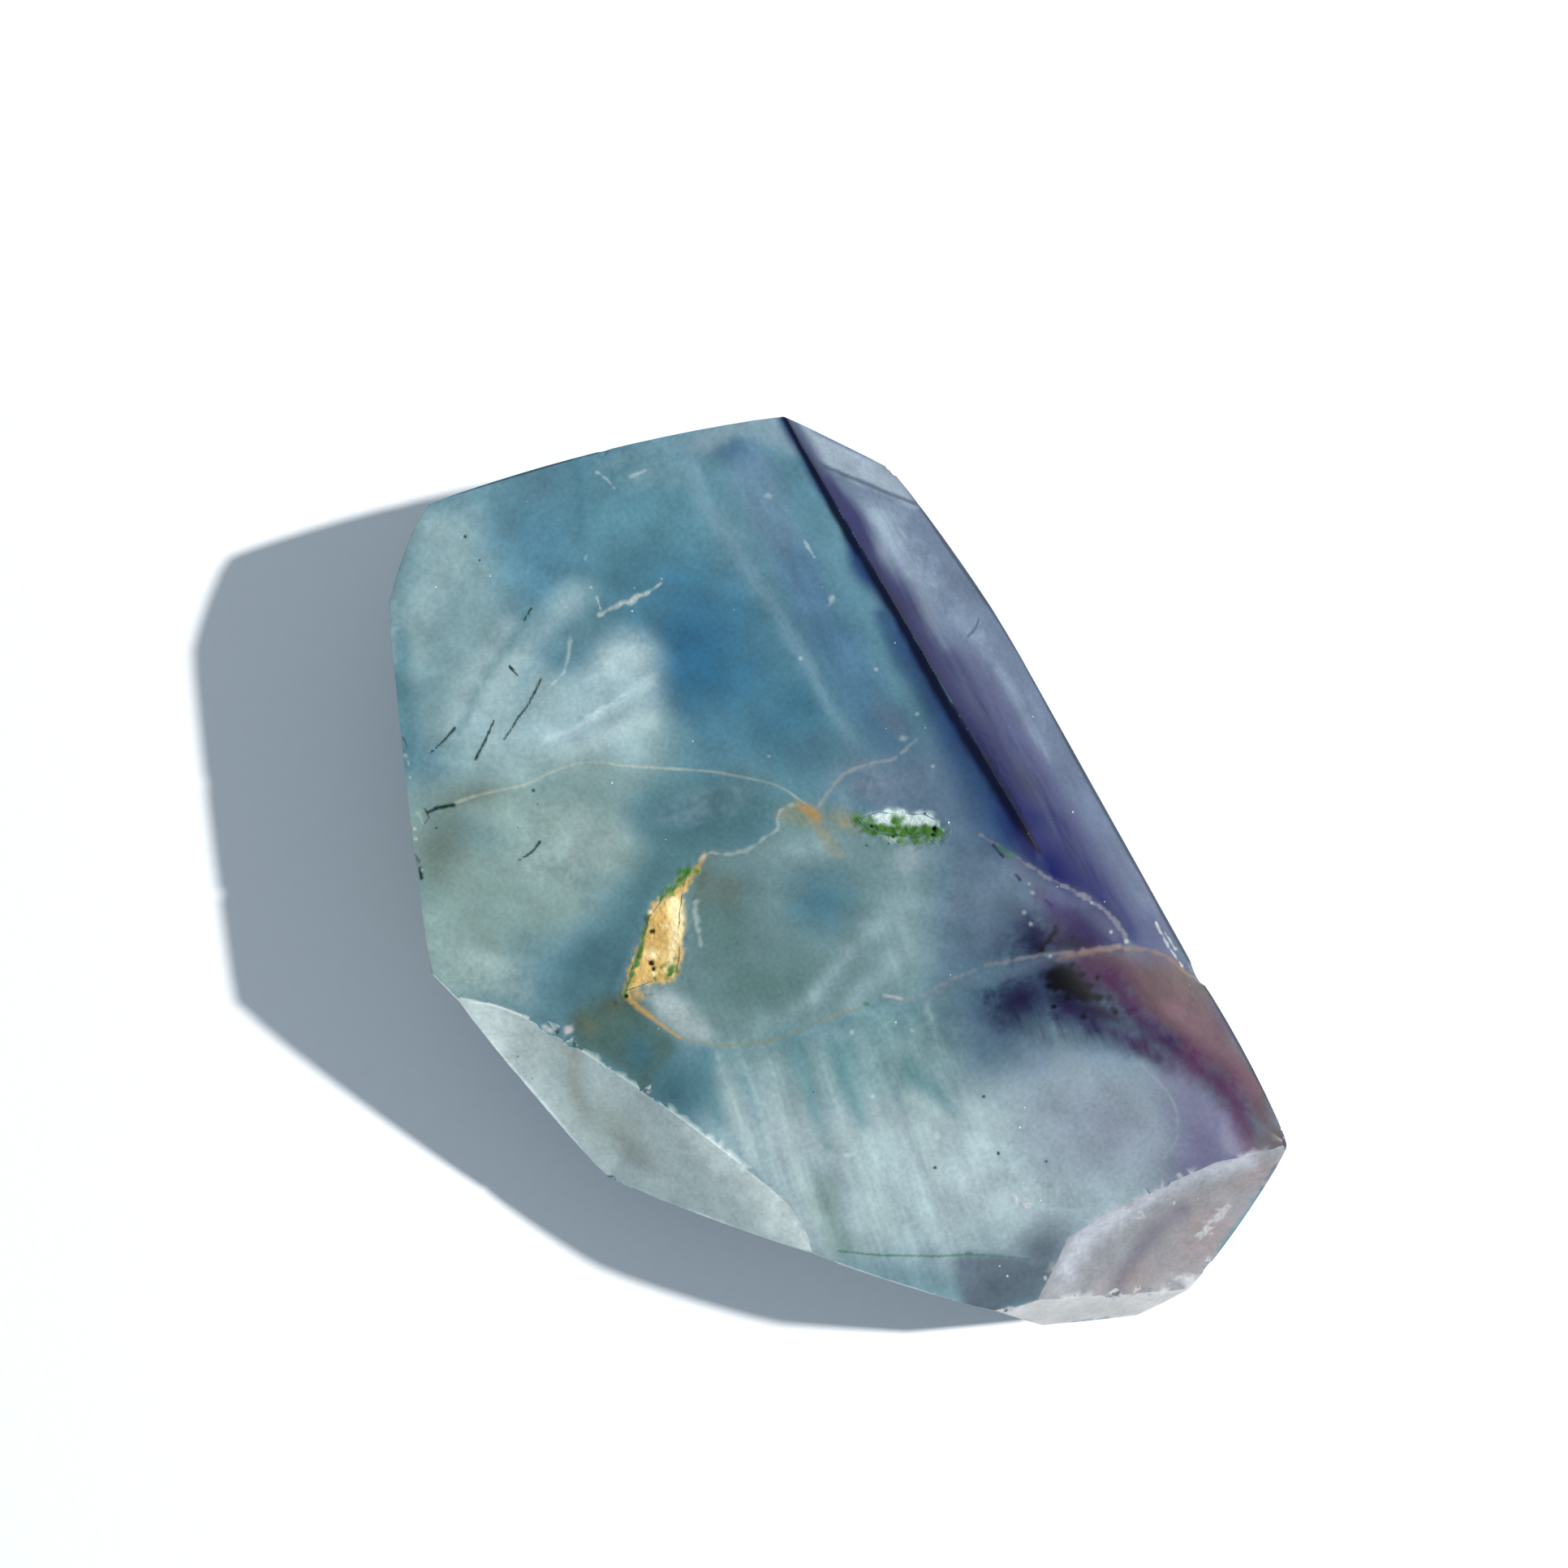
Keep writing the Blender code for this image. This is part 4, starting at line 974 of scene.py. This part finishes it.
def add_node(tree, kind, inputs, **settings):
    """Adds a shader node. Each input is a value, or the output that feeds it."""
    made = tree.nodes.new("ShaderNode" + kind)
    for name, value in settings.items():
        setattr(made, name, value)
    for key, value in inputs.items():
        if isinstance(value, bpy.types.NodeSocket):
            tree.links.new(value, made.inputs[key])
        else:
            made.inputs[key].default_value = value
    return made


def maths(tree, operation, first, second, third=0.0):
    return add_node(tree, "Math", {0: first, 1: second, 2: third}, operation=operation).outputs[0]


def mixed(tree, factor, a, b):
    """Two colours mixed."""
    return add_node(tree, "Mix", {0: factor, 6: a, 7: b}, data_type="RGBA").outputs[2]


def blended(tree, factor, a, b):
    """Two numbers mixed."""
    return add_node(tree, "Mix", {0: factor, 2: a, 3: b}, data_type="FLOAT").outputs[0]


def stepped(tree, value, low, high):
    """0 below low, 1 above high, and a smooth rise between."""
    inputs = {"Value": value, "From Min": low, "From Max": high}
    return add_node(tree, "MapRange", inputs, interpolation_type="SMOOTHSTEP").outputs["Result"]


def noise(tree, place, lengths, detail=3.0, roughness=0.6, turn=0.0):
    """Noise with bumps of these lengths along the x, y and z axes, which may be turned on z."""
    inputs = {"Vector": place, "Rotation": (0, 0, math.radians(turn)), "Scale": lengths}
    placed = add_node(tree, "Mapping", inputs, vector_type="TEXTURE").outputs[0]
    inputs = {"Vector": placed, "Scale": 1.0, "Detail": detail, "Roughness": roughness}
    return add_node(tree, "TexNoise", inputs).outputs[0]


def vector_attribute(tree, name):
    """Three numbers kept in the mesh."""
    kept = add_node(tree, "Attribute", {}, attribute_name=name).outputs["Vector"]
    return list(add_node(tree, "SeparateXYZ", {0: kept}).outputs)


def fluorite_material():
    """The stone's material: the kept colours and finish, with grain, dust and fine scratches."""
    material = bpy.data.materials.new("polished_fluorite")
    material.use_nodes = True
    tree = material.node_tree
    tree.nodes.clear()
    object_place = add_node(tree, "TexCoord", {}).outputs["Object"]
    place = add_node(tree, "VectorMath", {0: object_place, "Scale": 1 / MM}, operation="SCALE").outputs[0]
    mottle = noise(tree, place, (1.5, 1.5, 1.5), 3.0, 0.7)
    grit = noise(tree, place, (0.32, 0.32, 0.32), 1.0, 0.65)
    streak = noise(tree, place, (0.8, 6.0, 2.5), 2.0, 0.65, -3.0)
    ray = noise(tree, place, (1.0, 9.0, 3.0), 2.0, 0.7, -11.0)
    thin = add_node(tree, "Attribute", {}, attribute_name=THIN).outputs["Vector"]
    full = add_node(tree, "Attribute", {}, attribute_name=FULL).outputs["Vector"]
    _, streaky, radiant = vector_attribute(tree, SHARES)
    clear, rough, crumbly = vector_attribute(tree, FINISH)
    grain = blended(tree, radiant, blended(tree, streaky, mottle, streak), ray)
    colour = mixed(tree, maths(tree, "MULTIPLY_ADD", grain, GRAIN_GAIN, GRAIN_START), thin, full)

    # Cloudiness: its own grain and a fine grit make the stone lighter and darker.
    shade = maths(tree, "MULTIPLY_ADD", grain, SHADE_OF_GRAIN, SHADE_LEAST)
    shade = maths(tree, "MULTIPLY_ADD", grit, SHADE_OF_GRIT, shade)
    colour = add_node(tree, "VectorMath", {0: colour, "Scale": shade}, operation="SCALE").outputs[0]

    # Dust: tiny pale flecks, one or two to a square centimetre, and still fewer dark ones.
    inputs = {"Vector": place, "Scale": FLECKS_PER_MM, "Randomness": 1.0}
    flecks = add_node(tree, "TexVoronoi", inputs, feature="F1")
    pick = add_node(tree, "SeparateColor", {0: flecks.outputs["Color"]}).outputs
    size = maths(tree, "MULTIPLY", pick[1], FLECK_SIZE)
    close = maths(tree, "LESS_THAN", flecks.outputs["Distance"], size)
    pale = maths(tree, "MULTIPLY", close, maths(tree, "LESS_THAN", pick[0], PALE_FLECKS))
    colour = mixed(tree, pale, colour, (*linear(PALE_DUST), 1.0))
    dark = maths(tree, "MULTIPLY", close, maths(tree, "GREATER_THAN", pick[0], 1 - DARK_FLECKS))
    colour = mixed(tree, dark, colour, (*linear(DARK_DUST), 1.0))

    # Polish: fine scratches and a faint orange peel, and real grain only on the crusts.
    scratches = noise(tree, place, (0.1, 2.0, 1.0), 2.0, 0.5, 35.0)
    rough = maths(tree, "MULTIPLY_ADD", stepped(tree, scratches, 0.55, 0.75), SCRATCH_ROUGH, rough)
    peel = maths(tree, "MULTIPLY", noise(tree, place, (0.7, 0.7, 0.7), 2.0), PEEL_DEPTH)
    peel = maths(tree, "MULTIPLY_ADD", scratches, SCRATCH_DEPTH, peel)
    height = maths(tree, "MULTIPLY_ADD", maths(tree, "MULTIPLY", crumbly, grit), CRUST_DEPTH, peel)
    bump = add_node(tree, "Bump", {"Height": height, "Distance": MM, "Strength": 1.0}).outputs[0]

    shader = add_node(tree, "BsdfPrincipled", {
        "Base Color": colour,
        "Roughness": rough,
        "Transmission Weight": clear,
        "Normal": bump,
        "IOR": 1.434,
        "Subsurface Weight": 0.25,
        "Specular IOR Level": 0.3,
        "Subsurface Radius": (1.0, 1.1, 1.2),
        "Subsurface Scale": MM,
    }, subsurface_method="BURLEY")
    inside = add_node(tree, "VolumeAbsorption", {"Color": (0.82, 0.92, 0.95, 1.0), "Density": 22.0})
    output = add_node(tree, "OutputMaterial", {"Surface": shader.outputs[0], "Volume": inside.outputs[0]})
    output.is_active_output = True
    return material


def table_material():
    """Matt pale card with a faint tooth."""
    material = bpy.data.materials.new("pale_card")
    material.use_nodes = True
    tree = material.node_tree
    shader = tree.nodes["Principled BSDF"]
    place = add_node(tree, "TexCoord", {}).outputs["Object"]
    tooth = noise(tree, place, (MM, MM, MM), 4.0)
    colour = mixed(tree, tooth, (0.86, 0.87, 0.88, 1), (0.9, 0.905, 0.91, 1))
    bump = add_node(tree, "Bump", {"Height": tooth, "Distance": 0.02 * MM})
    tree.links.new(colour, shader.inputs["Base Color"])
    tree.links.new(bump.outputs[0], shader.inputs["Normal"])
    shader.inputs["Roughness"].default_value = 0.85
    shader.inputs["Specular IOR Level"].default_value = 0.2
    return material


def add_table():
    mesh = bpy.data.meshes.new("table")
    corners = [(x * TABLE_HALF, y * TABLE_HALF, 0) for x, y in ((-1, -1), (1, -1), (1, 1), (-1, 1))]
    mesh.from_pydata(corners, [], [(0, 1, 2, 3)])
    mesh.materials.append(table_material())
    table = bpy.data.objects.new("table", mesh)
    bpy.context.scene.collection.objects.link(table)


def add_light():
    """The lamp and the sky."""
    lamp = bpy.data.lights.new("key", "AREA")
    lamp.shape = "DISK"
    lamp.size = LIGHT_SIZE
    lamp.energy = LIGHT_POWER
    lamp.color = LIGHT_COLOUR
    key = bpy.data.objects.new("key", lamp)
    bpy.context.scene.collection.objects.link(key)
    away = np.array(LIGHT_FROM) / np.linalg.norm(LIGHT_FROM) * LIGHT_AWAY
    key.location = away
    key.rotation_euler = key.location.to_track_quat("Z", "Y").to_euler()
    world = bpy.data.worlds.new("sky")
    world.use_nodes = True
    sky = world.node_tree.nodes["Background"]
    sky.inputs["Color"].default_value = SKY_COLOUR
    sky.inputs["Strength"].default_value = SKY_STRENGTH
    bpy.context.scene.world = world


def add_camera():
    lens = bpy.data.cameras.new("camera")
    lens.angle = 2 * math.atan(FRAME_PX / 2 / FOCAL_PX)
    lens.clip_start = 0.01
    camera = bpy.data.objects.new("camera", lens)
    camera.location = CAMERA_AT
    camera.rotation_euler = (0.0, 0.0, CAMERA_TURN)
    bpy.context.scene.collection.objects.link(camera)
    bpy.context.scene.camera = camera


stone = fine_stone(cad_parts["fluorite"])
stone.data.materials.append(fluorite_material())
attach(stone, "root")
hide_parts("fluorite")
add_table()
add_light()
add_camera()
bpy.context.scene.view_settings.view_transform = "Standard"
